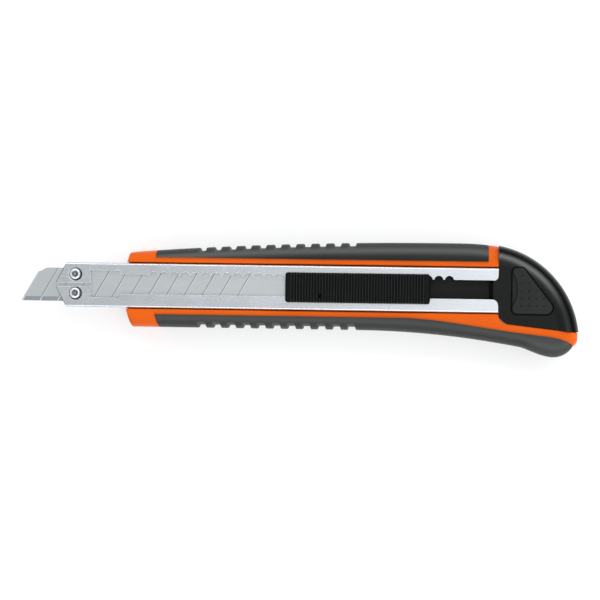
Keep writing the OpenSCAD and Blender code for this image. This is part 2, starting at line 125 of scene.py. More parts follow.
def rounded_outline(corners: Sequence[Sequence[float]], radii: Sequence[float],
                    grow: float = 0.0, count: int = 16) -> np.ndarray:
    """A polygon, counter-clockwise and convex, with every corner turned into an arc.

    Each corner moves out along its bisector by grow / sin(half angle), and its arc has the corner's
    radius plus grow, so that the outline keeps an even distance from the one with no growth.

    Args:
        corners: corner points (x, y).
        radii: one radius for each corner.
        grow: distance by which the outline is moved out.
        count: points on each arc.

    Returns:
        The outline's points.
    """
    pts = np.array(corners, float)
    result = []
    for i, radius in enumerate(radii):
        here = pts[i]
        a = pts[i - 1] - here
        b = pts[(i + 1) % len(pts)] - here
        a /= np.linalg.norm(a)
        b /= np.linalg.norm(b)
        half = math.acos(float(a @ b)) / 2
        mid = (a + b) / np.linalg.norm(a + b)
        r = radius + grow
        centre = here - mid * grow / math.sin(half) + mid * r / math.sin(half)
        tangent = here - mid * grow / math.sin(half) + a * r / math.tan(half)
        start = math.atan2(*(tangent - centre)[::-1])
        turn = start + np.linspace(0.0, math.pi - 2 * half, count)
        result.append(centre + r * np.stack([np.cos(turn), np.sin(turn)], 1))
    return np.concatenate(result)


# ---- Meshes ----


def grid_faces(rows: int, cols: int, closed: bool) -> np.ndarray:
    """Quads of a grid of points, each row a ring or an open line.

    Args:
        rows: number of rows.
        cols: points in each row.
        closed: True if the last point of a row joins its first.

    Returns:
        Vertex indices, shape (faces, 4).
    """
    i = np.arange(rows - 1)[:, None]
    j = np.arange(cols if closed else cols - 1)[None, :]
    k = (j + 1) % cols
    quads = np.stack([i * cols + j, i * cols + k, (i + 1) * cols + k, (i + 1) * cols + j], -1)
    return quads.reshape(-1, 4)


def finish_mesh(mesh: bpy.types.Mesh, sharp_deg: float, merge: float = 2e-6) -> None:
    """Merges doubles, turns faces outwards and marks edges over an angle as sharp.

    Args:
        mesh: the mesh to clean.
        sharp_deg: the angle in degrees over which an edge stays sharp.
        merge: distance in metres within which points are one.
    """
    work = bmesh.new()
    work.from_mesh(mesh)
    bmesh.ops.remove_doubles(work, verts=work.verts, dist=merge)
    bmesh.ops.dissolve_degenerate(work, edges=work.edges, dist=merge)
    bmesh.ops.recalc_face_normals(work, faces=work.faces)
    work.to_mesh(mesh)
    work.free()
    mesh.shade_smooth()
    mesh.set_sharp_from_angle(angle=math.radians(sharp_deg))
    mesh.update()


def surface_piece(name: str, points: np.ndarray, closed: bool = True, ends: bool = True,
                  sharp_deg: float = 40.0, crest: np.ndarray | None = None) -> bpy.types.Object:
    """Makes one object from a grid of points in millimetres.

    Args:
        name: the piece's name.
        points: grid of points, shape (rows, columns, 3).
        closed: True if each row is a ring.
        ends: True if the first and last ring are filled.
        sharp_deg: the angle in degrees over which an edge stays sharp.
        crest: strength of the painted highlight at each point, 0 to 1, kept as a point attribute of the same
            name.

    Returns:
        The new object, at the origin.
    """
    rows, cols = points.shape[:2]
    faces = grid_faces(rows, cols, closed).tolist()
    if ends:
        faces.append(list(range(cols))[::-1])
        faces.append([(rows - 1) * cols + j for j in range(cols)])
    mesh = bpy.data.meshes.new(name)
    mesh.from_pydata((points.reshape(-1, 3) * MM).tolist(), [], faces)
    if crest is not None:
        values = np.broadcast_to(crest, points.shape[:2]).ravel().astype(np.float32)
        mesh.attributes.new("crest", "FLOAT", "POINT").data.foreach_set("value", values)
    finish_mesh(mesh, sharp_deg)
    return new_object(name, mesh)


def new_object(name: str, mesh: bpy.types.Mesh) -> bpy.types.Object:
    """Links a new object that holds the mesh.

    Args:
        name: the object's name.
        mesh: its mesh.

    Returns:
        The object.
    """
    piece = bpy.data.objects.new(name, mesh)
    bpy.context.scene.collection.objects.link(piece)
    return piece


def dress(piece: bpy.types.Object, material: bpy.types.Material) -> None:
    """Gives a piece its only material."""
    piece.data.materials.clear()
    piece.data.materials.append(material)


def bevel(piece: bpy.types.Object, width: float, segments: int = 2, angle_deg: float = 30.0) -> None:
    """Adds a Bevel modifier on the piece's sharp edges.

    Args:
        piece: the object.
        width: the bevel's width in millimetres.
        segments: its segments.
        angle_deg: the least angle of an edge that is bevelled.
    """
    modifier = piece.modifiers.new("edge", "BEVEL")
    modifier.width = width * MM
    modifier.segments = segments
    modifier.limit_method = "ANGLE"
    modifier.angle_limit = math.radians(angle_deg)
    modifier.use_clamp_overlap = True
    modifier.harden_normals = True


def cut_out(piece: bpy.types.Object, outline: np.ndarray, z0: float, z1: float) -> None:
    """Cuts a prism out of a piece and applies the cut.

    Args:
        piece: the object to cut.
        outline: the prism's outline in millimetres.
        z0: its lower end.
        z1: its upper end.
    """
    rings = [np.column_stack([outline, np.full(len(outline), z)]) for z in (z0, z1)]
    tool = surface_piece("cut_tool", np.stack(rings), sharp_deg=30)
    modifier = piece.modifiers.new("cut", "BOOLEAN")
    modifier.operation = "DIFFERENCE"
    modifier.solver = "EXACT"
    modifier.object = tool
    evaluated = piece.evaluated_get(bpy.context.evaluated_depsgraph_get())
    mesh = bpy.data.meshes.new_from_object(evaluated)
    piece.modifiers.clear()
    piece.data = mesh
    mesh.set_sharp_from_angle(angle=math.radians(38))
    bpy.data.objects.remove(tool)


def merged_copy(node: str, name: str, sharp_deg: float = 30.0) -> bpy.types.Object:
    """Copies a CAD node's mesh into a new piece, merges it and joins its coplanar triangles.

    Args:
        node: the CAD node.
        name: the new piece's name.
        sharp_deg: the angle in degrees over which an edge stays sharp.

    Returns:
        The new object.
    """
    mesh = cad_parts[node].data.copy()
    mesh.name = name
    work = bmesh.new()
    work.from_mesh(mesh)
    bmesh.ops.remove_doubles(work, verts=work.verts, dist=1e-6)
    bmesh.ops.dissolve_limit(work, angle_limit=math.radians(1.0), verts=work.verts, edges=work.edges)
    work.to_mesh(mesh)
    work.free()
    mesh.shade_smooth()
    mesh.set_sharp_from_angle(angle=math.radians(sharp_deg))
    return new_object(name, mesh)


def settle(piece: bpy.types.Object, body: str, nodes: Sequence[str] = ()) -> None:
    """Rides a piece on its body and the nodes that it stands for, and logs it.

    Args:
        piece: the piece.
        body: the CAD body it rides on.
        nodes: the CAD nodes it replaces.
    """
    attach(piece, body)
    if nodes:
        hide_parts(*nodes)
    LOG.info("%s: %d faces, rides on %s", piece.name, len(piece.data.polygons), body)


# ---- Materials ----


def linear(hex_colour: str) -> tuple[float, float, float, float]:
    """Turns an sRGB hex value into linear RGBA.

    Args:
        hex_colour: six hex digits after a hash.

    Returns:
        Linear red, green, blue and an alpha of 1.
    """
    parts = [int(hex_colour[i:i + 2], 16) / 255 for i in (1, 3, 5)]
    rgb = [c / 12.92 if c <= 0.04045 else ((c + 0.055) / 1.055) ** 2.4 for c in parts]
    return rgb[0], rgb[1], rgb[2], 1.0


def add_node(tree: bpy.types.NodeTree, kind: str, settings: dict | None = None,
             values: dict | None = None, links: dict | None = None) -> bpy.types.Node:
    """Adds a shader node.

    Args:
        tree: the node tree.
        kind: the node's type, such as ShaderNodeTexNoise.
        settings: attributes to set on the node.
        values: input values by socket name or index.
        links: output sockets to link, by input socket name or index.

    Returns:
        The node.
    """
    node = tree.nodes.new(kind)
    for key, value in (settings or {}).items():
        setattr(node, key, value)
    for key, value in (values or {}).items():
        node.inputs[key].default_value = value
    for key, value in (links or {}).items():
        tree.links.new(value, node.inputs[key])
    return node


def object_pattern(tree: bpy.types.NodeTree, spacing_mm: Sequence[float]) -> bpy.types.NodeSocket:
    """Object coordinates scaled so that one unit is the given spacing along each axis.

    Args:
        tree: the node tree.
        spacing_mm: the pattern's size along X, Y and Z in millimetres.

    Returns:
        The vector to feed a texture.
    """
    place = add_node(tree, "ShaderNodeTexCoord")
    scale = [1.0 / (s * MM) for s in spacing_mm]
    mapping = add_node(tree, "ShaderNodeMapping", values={"Scale": scale},
                       links={"Vector": place.outputs["Object"]})
    return mapping.outputs["Vector"]


def tint(tree: bpy.types.NodeTree, factor: bpy.types.NodeSocket, first: str,
         second: str) -> bpy.types.NodeSocket:
    """Mixes two hex colours by a factor.

    Args:
        tree: the node tree.
        factor: 0 for the first colour, 1 for the second.
        first: hex colour at 0.
        second: hex colour at 1.

    Returns:
        The colour.
    """
    mix = add_node(tree, "ShaderNodeMix", {"data_type": "RGBA"}, links={"Factor": factor})
    mix.inputs[6].default_value = linear(first)
    mix.inputs[7].default_value = linear(second)
    return mix.outputs[2]


def spread(tree: bpy.types.NodeTree, value: bpy.types.NodeSocket, low: float,
           high: float) -> bpy.types.NodeSocket:
    """Maps a pattern's middle range, 0.3 to 0.7, to low and high.

    Args:
        tree: the node tree.
        value: the pattern.
        low: result at 0.3.
        high: result at 0.7.

    Returns:
        The mapped value.
    """
    node = add_node(tree, "ShaderNodeMapRange", links={"Value": value},
                    values={"From Min": 0.3, "From Max": 0.7, "To Min": low, "To Max": high})
    return node.outputs["Result"]


def noise(tree: bpy.types.NodeTree, spacing_mm: Sequence[float], detail: float = 3.0) -> bpy.types.NodeSocket:
    """Noise whose features have the given size along each axis.

    Args:
        tree: the node tree.
        spacing_mm: feature size along X, Y and Z in millimetres.
        detail: octaves of finer noise.

    Returns:
        The noise value, 0 to 1.
    """
    texture = add_node(tree, "ShaderNodeTexNoise", values={"Scale": 1.0, "Detail": detail},
                       links={"Vector": object_pattern(tree, spacing_mm)})
    return texture.outputs["Fac"]


def paint_highlight(tree: bpy.types.NodeTree, colour: bpy.types.NodeSocket,
             highlight_colour: str) -> bpy.types.NodeSocket:
    """Lightens a colour by the piece's attribute crest: a painted highlight.

    Args:
        tree: the node tree.
        colour: the colour elsewhere.
        highlight_colour: hex colour where the attribute is 1.

    Returns:
        The colour.
    """
    crest = add_node(tree, "ShaderNodeAttribute", {"attribute_name": "crest"})
    mix = add_node(tree, "ShaderNodeMix", {"data_type": "RGBA"}, {7: linear(highlight_colour)},
                   {"Factor": crest.outputs["Fac"], 6: colour})
    return mix.outputs[2]


def bump(tree: bpy.types.NodeTree, height: bpy.types.NodeSocket, depth_mm: float,
         strength: float = 1.0) -> bpy.types.NodeSocket:
    """A bump from a height pattern.

    Args:
        tree: the node tree.
        height: pattern between 0 and 1.
        depth_mm: the height of 1 in millimetres.
        strength: how strongly it shows.

    Returns:
        The normal.
    """
    node = add_node(tree, "ShaderNodeBump", values={"Strength": strength, "Distance": depth_mm * MM},
                    links={"Height": height})
    return node.outputs["Normal"]


@dataclass(frozen=True)
class Finish:
    """What every finish has: a name, a colour with its darker variation, and roughness limits."""

    name: str
    colour: str
    shade: str
    rough_low: float
    rough_high: float
    gloss: float = 0.5

    def start(self) -> tuple[bpy.types.Material, bpy.types.NodeTree, bpy.types.Node]:
        """Makes an empty material.

        Returns:
            The material, its node tree and its Principled shader.
        """
        material = bpy.data.materials.new(self.name)
        material.use_nodes = True
        tree = material.node_tree
        shader = next(n for n in tree.nodes if n.type == "BSDF_PRINCIPLED")
        shader.inputs["Specular IOR Level"].default_value = self.gloss
        return material, tree, shader

    @staticmethod
    def wire(tree: bpy.types.NodeTree, shader: bpy.types.Node, links: dict) -> None:
        """Links sockets to the shader's inputs.

        Args:
            tree: the node tree.
            shader: its Principled shader.
            links: output sockets by the name of the input that they feed.
        """
        for name, socket in links.items():
            tree.links.new(socket, shader.inputs[name])


@dataclass(frozen=True)
class MouldedPlastic(Finish):
    """Injection-moulded ABS: even colour, a spark-eroded grain and a soft sheen from the mould."""

    grain_mm: float = 0.35
    grain_depth_mm: float = 0.012
    ior: float = 1.53
    # Colour of the painted highlight that the attribute crest lays on; none if empty
    crest: str = ""

    def build(self) -> bpy.types.Material:
        """Returns the material: grain in bump and roughness, and a faint flow pattern in the colour."""
        material, tree, shader = self.start()
        grain = noise(tree, (self.grain_mm,) * 3, 2.0)
        flow = noise(tree, (14.0, 5.0, 5.0), 2.0)
        colour = tint(tree, spread(tree, flow, 0.0, 1.0), self.colour, self.shade)
        links = {
            "Base Color": paint_highlight(tree, colour, self.crest) if self.crest else colour,
            "Roughness": spread(tree, grain, self.rough_low, self.rough_high),
            "Normal": bump(tree, grain, self.grain_depth_mm),
        }
        self.wire(tree, shader, links)
        shader.inputs["IOR"].default_value = self.ior
        return material


@dataclass(frozen=True)
class SoftRubber(Finish):
    """Overmoulded TPE: matt, slightly velvety, with a fine even stipple."""

    stipple_mm: float = 0.45
    stipple_depth_mm: float = 0.02
    # Colour of the painted highlight that the attribute crest lays on
    crest: str = "#464847"

    def build(self) -> bpy.types.Material:
        """Returns the material: stipple in bump, dusty colour variation, and a painted highlight where the
        attribute crest is set.
        """
        material, tree, shader = self.start()
        stipple = noise(tree, (self.stipple_mm,) * 3, 2.5)
        wear = noise(tree, (9.0, 6.0, 6.0), 4.0)
        colour = tint(tree, spread(tree, wear, 0.0, 1.0), self.colour, self.shade)
        links = {
            "Base Color": paint_highlight(tree, colour, self.crest),
            "Roughness": spread(tree, stipple, self.rough_low, self.rough_high),
            "Normal": bump(tree, stipple, self.stipple_depth_mm),
        }
        self.wire(tree, shader, links)
        shader.inputs["IOR"].default_value = 1.5
        return material


@dataclass(frozen=True)
class BrushedSteel(Finish):
    """Cold-rolled stainless strip: fine lines along X from rolling, and a cloudy variation in gloss."""

    line_mm: tuple[float, float, float] = (14.0, 0.16, 0.16)
    line_depth_mm: float = 0.0025

    def build(self) -> bpy.types.Material:
        """Returns the material: rolling lines in bump, roughness and a little in the colour."""
        material, tree, shader = self.start()
        lines = noise(tree, self.line_mm, 4.0)
        cloud = noise(tree, (6.0, 4.0, 4.0), 3.0)
        both = add_node(tree, "ShaderNodeMix", {"data_type": "FLOAT"}, {"Factor": 0.5},
                        {2: lines, 3: cloud}).outputs[0]
        links = {
            "Base Color": tint(tree, spread(tree, both, 0.0, 1.0), self.colour, self.shade),
            "Roughness": spread(tree, both, self.rough_low, self.rough_high),
            "Normal": bump(tree, lines, self.line_depth_mm, 0.6),
        }
        self.wire(tree, shader, links)
        shader.inputs["Metallic"].default_value = 1.0
        return material


@dataclass(frozen=True)
class GroundBlade(Finish):
    """Hardened carbon-steel strip: satin faces, a ground bevel, and scored snap lines, each a thin dark line
    with a painted highlight beside it for its raised burr.
    """

    bevel: str = "#7d8387"
    bevel_y_mm: float = -3.3
    node: str = "snap_blade"
    segment_mm: float = 4.82
    lean: float = 0.57735
    last_mm: float = 63.0

    def band(self, tree: bpy.types.NodeTree, value: bpy.types.NodeSocket, centre: float, half: float,
             soft: float) -> bpy.types.NodeSocket:
        """1 where a value is within half of a centre, with a soft edge.

        Args:
            tree: the node tree.
            value: the value, in millimetres.
            centre: middle of the band.
            half: half its width.
            soft: width of the soft edge.

        Returns:
            The band's factor.
        """
        away = add_node(tree, "ShaderNodeMath", {"operation": "SUBTRACT"}, {1: centre}, {0: value})
        size = add_node(tree, "ShaderNodeMath", {"operation": "ABSOLUTE"}, links={0: away.outputs[0]})
        node = add_node(tree, "ShaderNodeMapRange", links={"Value": size.outputs[0]},
                        values={"From Min": half, "From Max": half + soft, "To Min": 1.0, "To Max": 0.0})
        return node.outputs["Result"]

    def from_line(self, tree: bpy.types.NodeTree, axes: bpy.types.Node) -> bpy.types.NodeSocket:
        """Signed distance along X from the nearest snap line, in millimetres.

        The lines lean, so the place along the blade is X - lean * Y, counted in segments from the tip.

        Args:
            tree: the node tree.
            axes: the node with X, Y and Z of the object coordinates.

        Returns:
            The distance.
        """
        start = float(node_box(self.node).lo[0]) + 4.5 * self.lean
        upright = add_node(tree, "ShaderNodeMath", {"operation": "MULTIPLY_ADD"}, {1: -self.lean},
                           {0: axes.outputs["Y"], 2: axes.outputs["X"]})
        count = add_node(tree, "ShaderNodeMath", {"operation": "MULTIPLY_ADD"},
                         {1: 1 / (self.segment_mm * MM), 2: 0.5 - start / self.segment_mm},
                         {0: upright.outputs[0]})
        part = add_node(tree, "ShaderNodeMath", {"operation": "FRACT"}, links={0: count.outputs[0]})
        near = add_node(tree, "ShaderNodeMath", {"operation": "MULTIPLY_ADD"},
                        {1: self.segment_mm, 2: -self.segment_mm / 2}, {0: part.outputs[0]})
        return near.outputs[0]

    def build(self) -> bpy.types.Material:
        """Returns the material: bevel and snap lines are told from the face by their place on the blade."""
        material, tree, shader = self.start()
        lines = noise(tree, (10.0, 0.22, 0.22), 3.0)
        cross = noise(tree, (0.06, 3.0, 3.0), 1.0)
        place = add_node(tree, "ShaderNodeTexCoord")
        axes = add_node(tree, "ShaderNodeSeparateXYZ", links={"Vector": place.outputs["Object"]})
        edge = add_node(tree, "ShaderNodeMapRange", links={"Value": axes.outputs["Y"]},
                        values={"From Min": (self.bevel_y_mm - 0.05) * MM,
                                "From Max": (self.bevel_y_mm + 0.05) * MM,
                                "To Min": 1.0, "To Max": 0.0}).outputs["Result"]
        face = tint(tree, spread(tree, lines, 0.0, 1.0), self.colour, self.shade)
        ground = tint(tree, spread(tree, cross, 0.0, 0.25), self.bevel, self.shade)
        colour = add_node(tree, "ShaderNodeMix", {"data_type": "RGBA"},
                          links={"Factor": edge, 6: face, 7: ground})
        near = self.from_line(tree, axes)
        # Score line: a thin dark line along the groove, and beside it a painted highlight where the groove's
        # raised burr would catch the light
        burr = add_node(tree, "ShaderNodeMix", {"data_type": "RGBA"}, {7: linear("#dde1e3")},
                        {"Factor": self.band(tree, near, 0.25, 0.045, 0.1), 6: colour.outputs[2]})
        score = add_node(tree, "ShaderNodeMix", {"data_type": "RGBA"}, {7: linear("#80868a")},
                         {"Factor": self.band(tree, near, 0.0, 0.075, 0.08), 6: burr.outputs[2]})
        limit = (float(node_box(self.node).lo[0]) + self.last_mm) * MM
        scored = add_node(tree, "ShaderNodeMath", {"operation": "LESS_THAN"}, {1: limit},
                          {0: axes.outputs["X"]})
        final = add_node(tree, "ShaderNodeMix", {"data_type": "RGBA"},
                         links={"Factor": scored.outputs[0], 6: colour.outputs[2], 7: score.outputs[2]})
        scratch = add_node(tree, "ShaderNodeMix", {"data_type": "FLOAT"},
                           links={"Factor": edge, 2: lines, 3: cross})
        links = {
            "Base Color": final.outputs[2],
            "Roughness": spread(tree, scratch.outputs[0], self.rough_low, self.rough_high),
            "Normal": bump(tree, scratch.outputs[0], 0.003, 0.5),
        }
        self.wire(tree, shader, links)
        shader.inputs["Metallic"].default_value = 1.0
        return material


@dataclass(frozen=True)
class PlatedMetal(Finish):
    """Nickel plate on a turned or stamped part: glossy, with faint tumbling marks."""

    mark_mm: float = 0.5

    def build(self) -> bpy.types.Material:
        """Returns the material: tumbling marks in roughness and a very shallow bump."""
        material, tree, shader = self.start()
        marks = noise(tree, (self.mark_mm,) * 3, 3.0)
        links = {
            "Base Color": tint(tree, spread(tree, marks, 0.0, 1.0), self.colour, self.shade),
            "Roughness": spread(tree, marks, self.rough_low, self.rough_high),
            "Normal": bump(tree, marks, 0.004, 0.5),
        }
        self.wire(tree, shader, links)
        shader.inputs["Metallic"].default_value = 1.0
        return material


class Slot(Enum):
    """The record's material slots, and the finishes that share a slot with another."""

    ORANGE = "orange_plastic"
    GRIP = "grip_rubber"
    CHANNEL = "channel_steel"
    SPRING = "spring_steel"
    GUIDE = "guide_plastic"
    RIVET = "rivet_metal"
    BLADE = "blade_steel"
    BLACK = "black_plastic"
    RIB = "ribbed_plastic"
    CAP = "cap_plastic"
    PAINTED_SHADE = "rivet_seat"
    DISH = "rivet_dish"
    EDGE = "sheared_edge"
    SPARE = "spare_blade_steel"
    LEAF = "leaf_spring_steel"


FINISHES: dict[Slot, Finish] = {
    # Glossy orange ABS: one clean, saturated colour that shows the soft light on its edges
    Slot.ORANGE: MouldedPlastic("moulded orange ABS", "#c5530e", "#bf4e0c", 0.34, 0.46, 0.1),
    # Dark grey TPE: a dull, slightly dusty skin, with a painted highlight where it curves
    Slot.GRIP: SoftRubber("overmoulded grey TPE", "#161717", "#121313", 0.42, 0.55, 0.2),
    # Folded stainless strip: bright, cool grey with lines along its length
    Slot.CHANNEL: BrushedSteel("rolled stainless strip", "#e2e6ea", "#d2d8de", 0.2, 0.32),
    # Stamped nose plates: the same strip, a little duller
    Slot.SPRING: BrushedSteel("stamped steel plate", "#c6cacd", "#b8bcbf", 0.3, 0.42),
    # Spring leaves in near-black, dull steel; where the latch hook shows at the slot's end, its dark colour
    # is painted shade of the gap there
    Slot.LEAF: BrushedSteel("near-black spring steel, painted shade", "#2b2c2d", "#232425", 0.4, 0.55),
    # Grey nylon: dull and slightly see-through looking, so it has the highest roughness
    Slot.GUIDE: MouldedPlastic("moulded grey nylon", "#6b6e72", "#64676b", 0.5, 0.65, 0.4),
    # Nickel-plated rivets: small mirrors that show the dark and bright of the room
    Slot.RIVET: PlatedMetal("nickel-plated steel", "#f2f3f4", "#e6e8ea", 0.06, 0.14),
    # Dark grey steel: a painted shadow round each rivet head, and painted shade along the nose's sloped edges
    Slot.PAINTED_SHADE: PlatedMetal("dark steel, painted shade", "#3c4043", "#2c2f31", 0.3, 0.45),
    # Bottom of an eyelet: steel that the riveting tool has burnished in a dark hollow
    Slot.DISH: PlatedMetal("burnished bare steel", "#b9bdc0", "#5f6366", 0.12, 0.3),
    # Sheared and rolled edge of the strip: bright, because the tool has rubbed it
    Slot.EDGE: PlatedMetal("rubbed stainless edge", "#f6f8f9", "#e8ebee", 0.15, 0.25),
    # Blade steel: even satin grey, with a darker ground edge
    Slot.BLADE: GroundBlade("ground carbon steel", "#c9cecf", "#bdc3c5", 0.3, 0.42),
    # The same steel on the spare blades, whose snap lines start elsewhere
    Slot.SPARE: GroundBlade("ground carbon steel, spare", "#c9cecf", "#bdc3c5", 0.3, 0.42,
                            node="spare_blade_1"),
    # Black ABS of the slider and its runner: very dark, fine-grained
    Slot.BLACK: MouldedPlastic("moulded black ABS", "#0f1010", "#0d0e0e", 0.38, 0.52, 0.18, 0.25, 0.01),
    # The ribbed slider block: the same plastic in a darker tone, with a painted highlight along the top of
    # each rib
    Slot.RIB: MouldedPlastic("ribbed black ABS", "#060707", "#050606", 0.4, 0.55, 0.11, 0.25, 0.01,
                             crest="#191b1b"),
    # Near-black ABS of the end cap: satin, a step lighter than the slider, with a lighter grey for the
    # painted highlights along its ridge and rim
    Slot.CAP: MouldedPlastic("satin black ABS", "#0b0c0c", "#090a0a", 0.34, 0.46, 0.155, 0.28, 0.01,
                             crest="#545655"),
}


class Palette:
    """Builds each finish once and hands it out by slot."""

    def __init__(self) -> None:
        """Makes all the materials."""
        self.materials = {slot: finish.build() for slot, finish in FINISHES.items()}

    def __getitem__(self, slot: Slot) -> bpy.types.Material:
        """Returns the material of a slot."""
        return self.materials[slot]


# ---- Handle ----


class HandleLines:
    """The handle's outlines in the XY plane, in millimetres, with places taken from the frame."""

    back_radius = 1020.0
    belly_curve = 0.0021
    bulge_radius = 6.1
    heel_r = 3.0

    def __init__(self) -> None:
        """Reads the boxes that fix the outlines."""
        core, upper, lower = node_box("handle_core"), node_box("upper_grip"), node_box("lower_grip")
        channel = node_box("blade_channel")
        self.front_x = float(core.lo[0]) + 0.4
        self.cap_x = float(channel.hi[0])
        self.face_z = float(core.hi[2])
        self.opening_y = float(channel.hi[1]) + 0.05
        self.grip_y = float(upper.lo[1])
        self.top_y = float(upper.hi[1])
        self.upper_x = (float(upper.lo[0]), float(upper.hi[0]))
        self.lower_x = (float(lower.lo[0]), float(lower.hi[0]))
        self.bulge = np.array([self.cap_x + 14.8, float(lower.lo[1]) + self.bulge_radius])
        self.low_y = float(self.bulge[1]) + 0.4
        self.back_x = self.cap_x - 15.2
        self.dip_x = self.cap_x + 5.8
        self.tail_end = np.array([self.cap_x + 20.1, self.low_y - 3.2])

    def back(self, x: np.ndarray) -> np.ndarray:
        """Height of the back edge: a shallow arc y = top - (x - x0)^2 / 2R that bends down to the cap.

        Args:
            x: stations.

        Returns:
            Y of the edge at each station, with the slanted front end.
        """
        arc = self.top_y - (x - self.back_x) ** 2 / (2 * self.back_radius)
        bend = bezier([(self.back_x + 4, self.top_y), (self.back_x + 9, self.top_y),
                       (self.cap_x - 2.6, self.top_y - 0.3), (self.cap_x, self.top_y - 0.82)])
        y = np.where(x > self.back_x + 4, np.interp(x, bend[:, 0], bend[:, 1]), arc)
        top = self.top_y - (self.front_x - self.back_x) ** 2 / (2 * self.back_radius)
        nose = np.array([(self.front_x - 0.4, self.opening_y), (self.front_x + 0.14, top - 0.45),
                         (self.front_x + 0.2, top - 0.22), (self.front_x + 0.34, top - 0.08),
                         (self.front_x + 0.7, top), (self.front_x + 1.6, top + 0.06)])
        return np.minimum(y, np.where(x < self.front_x + 1.6, np.interp(x, nose[:, 0], nose[:, 1]), 99.0))

    def belly(self, x: np.ndarray) -> np.ndarray:
        """Height of the belly edge: straight, then a parabola, a dip and the round palm bulge.

        Args:
            x: stations.

        Returns:
            Y of the edge at each station, with the curved front end.
        """
        start = self.cap_x - 37.2
        parabola = self.low_y - self.belly_curve * np.maximum(x - start, 0.0) ** 2
        dip_y = self.low_y - self.belly_curve * (self.dip_x - start) ** 2
        dip = bezier([(self.dip_x, dip_y), (self.dip_x + 2, dip_y - 0.36),
                      self.bulge + (-3.2, -self.bulge_radius), self.bulge + (0, -self.bulge_radius)])
        turn = np.radians(np.linspace(-90, -20, 60))
        bulge = self.bulge + self.bulge_radius * np.stack([np.cos(turn), np.sin(turn)], 1)
        rear = np.concatenate([dip, bulge[1:]])
        y = np.where(x > self.dip_x, np.interp(x, rear[:, 0], rear[:, 1]), parabola)
        nose = bezier([(self.front_x - 0.4, -self.opening_y), (self.front_x, self.low_y + 2.6),
                       (self.front_x + 0.6, self.low_y), (self.front_x + 1.35, self.low_y)])
        return np.maximum(y, np.where(x < self.front_x + 1.8, np.interp(x, nose[:, 0], nose[:, 1]), -99.0))

    def seam(self, x: np.ndarray) -> np.ndarray:
        """Upper edge of the lower grip: straight, then two cubics down to the tail.

        Args:
            x: stations.

        Returns:
            Y of the seam at each station.
        """
        mid = np.array([self.dip_x, -self.grip_y - 3.6])
        first = bezier([(self.cap_x - 26.2, -self.grip_y), (self.cap_x - 16.2, -self.grip_y),
                        mid + (-11, 1.3), mid])
        second = bezier([mid, mid + (7, -0.8), self.tail_end + (-2.8, 2.2), self.tail_end])
        line = np.concatenate([first, second[1:]])
        return np.interp(x, line[:, 0], line[:, 1])

    def cap_edge(self, x: np.ndarray) -> np.ndarray:
        """Lower edge of the end cap: a rounded heel and a straight line to the tip.

        Args:
            x: stations right of the cap's front edge.

        Returns:
            Y of the edge at each station.
        """
        slope, r = 0.1115, self.heel_r
        line = self.low_y + 0.3 + (self.cap_x + 21.1 - x) * slope
        centre_x = self.cap_x + r
        centre_y = self.low_y + 0.3 + (21.1 - r) * slope + r * math.hypot(1.0, slope)
        arc = centre_y - np.sqrt(np.maximum(r * r - (x - centre_x) ** 2, 0.0))
        return np.where(x < centre_x - r * math.sin(math.atan(slope)), arc, line)


def side_curve(inner: np.ndarray, outer: np.ndarray, middle: np.ndarray, half: np.ndarray,
               power: float, count: int) -> tuple[np.ndarray, np.ndarray]:
    """Half a superellipse from the front face round the side to the back.

    y = inner + (outer - inner) cos(a)^(2/p) and z = middle + half sin(a)^(2/p), a from 90 to -90.

    Args:
        inner: Y where the curve starts and ends, one for each station.
        outer: Y of the silhouette.
        middle: Z of the middle.
        half: half the height.
        power: p; 2 is an ellipse and more is squarer.
        count: points along the curve.

    Returns:
        Y and Z, each of shape (stations, count).
    """
    a = np.radians(np.linspace(90.0, -90.0, count))[None, :]
    reach = np.abs(np.cos(a)) ** (2 / power)
    rise = np.sign(np.sin(a)) * np.abs(np.sin(a)) ** (2 / power)
    y = inner[:, None] + (outer - inner)[:, None] * reach
    z = np.broadcast_to(middle, outer.shape)[:, None] + np.broadcast_to(half, outer.shape)[:, None] * rise
    return y, z


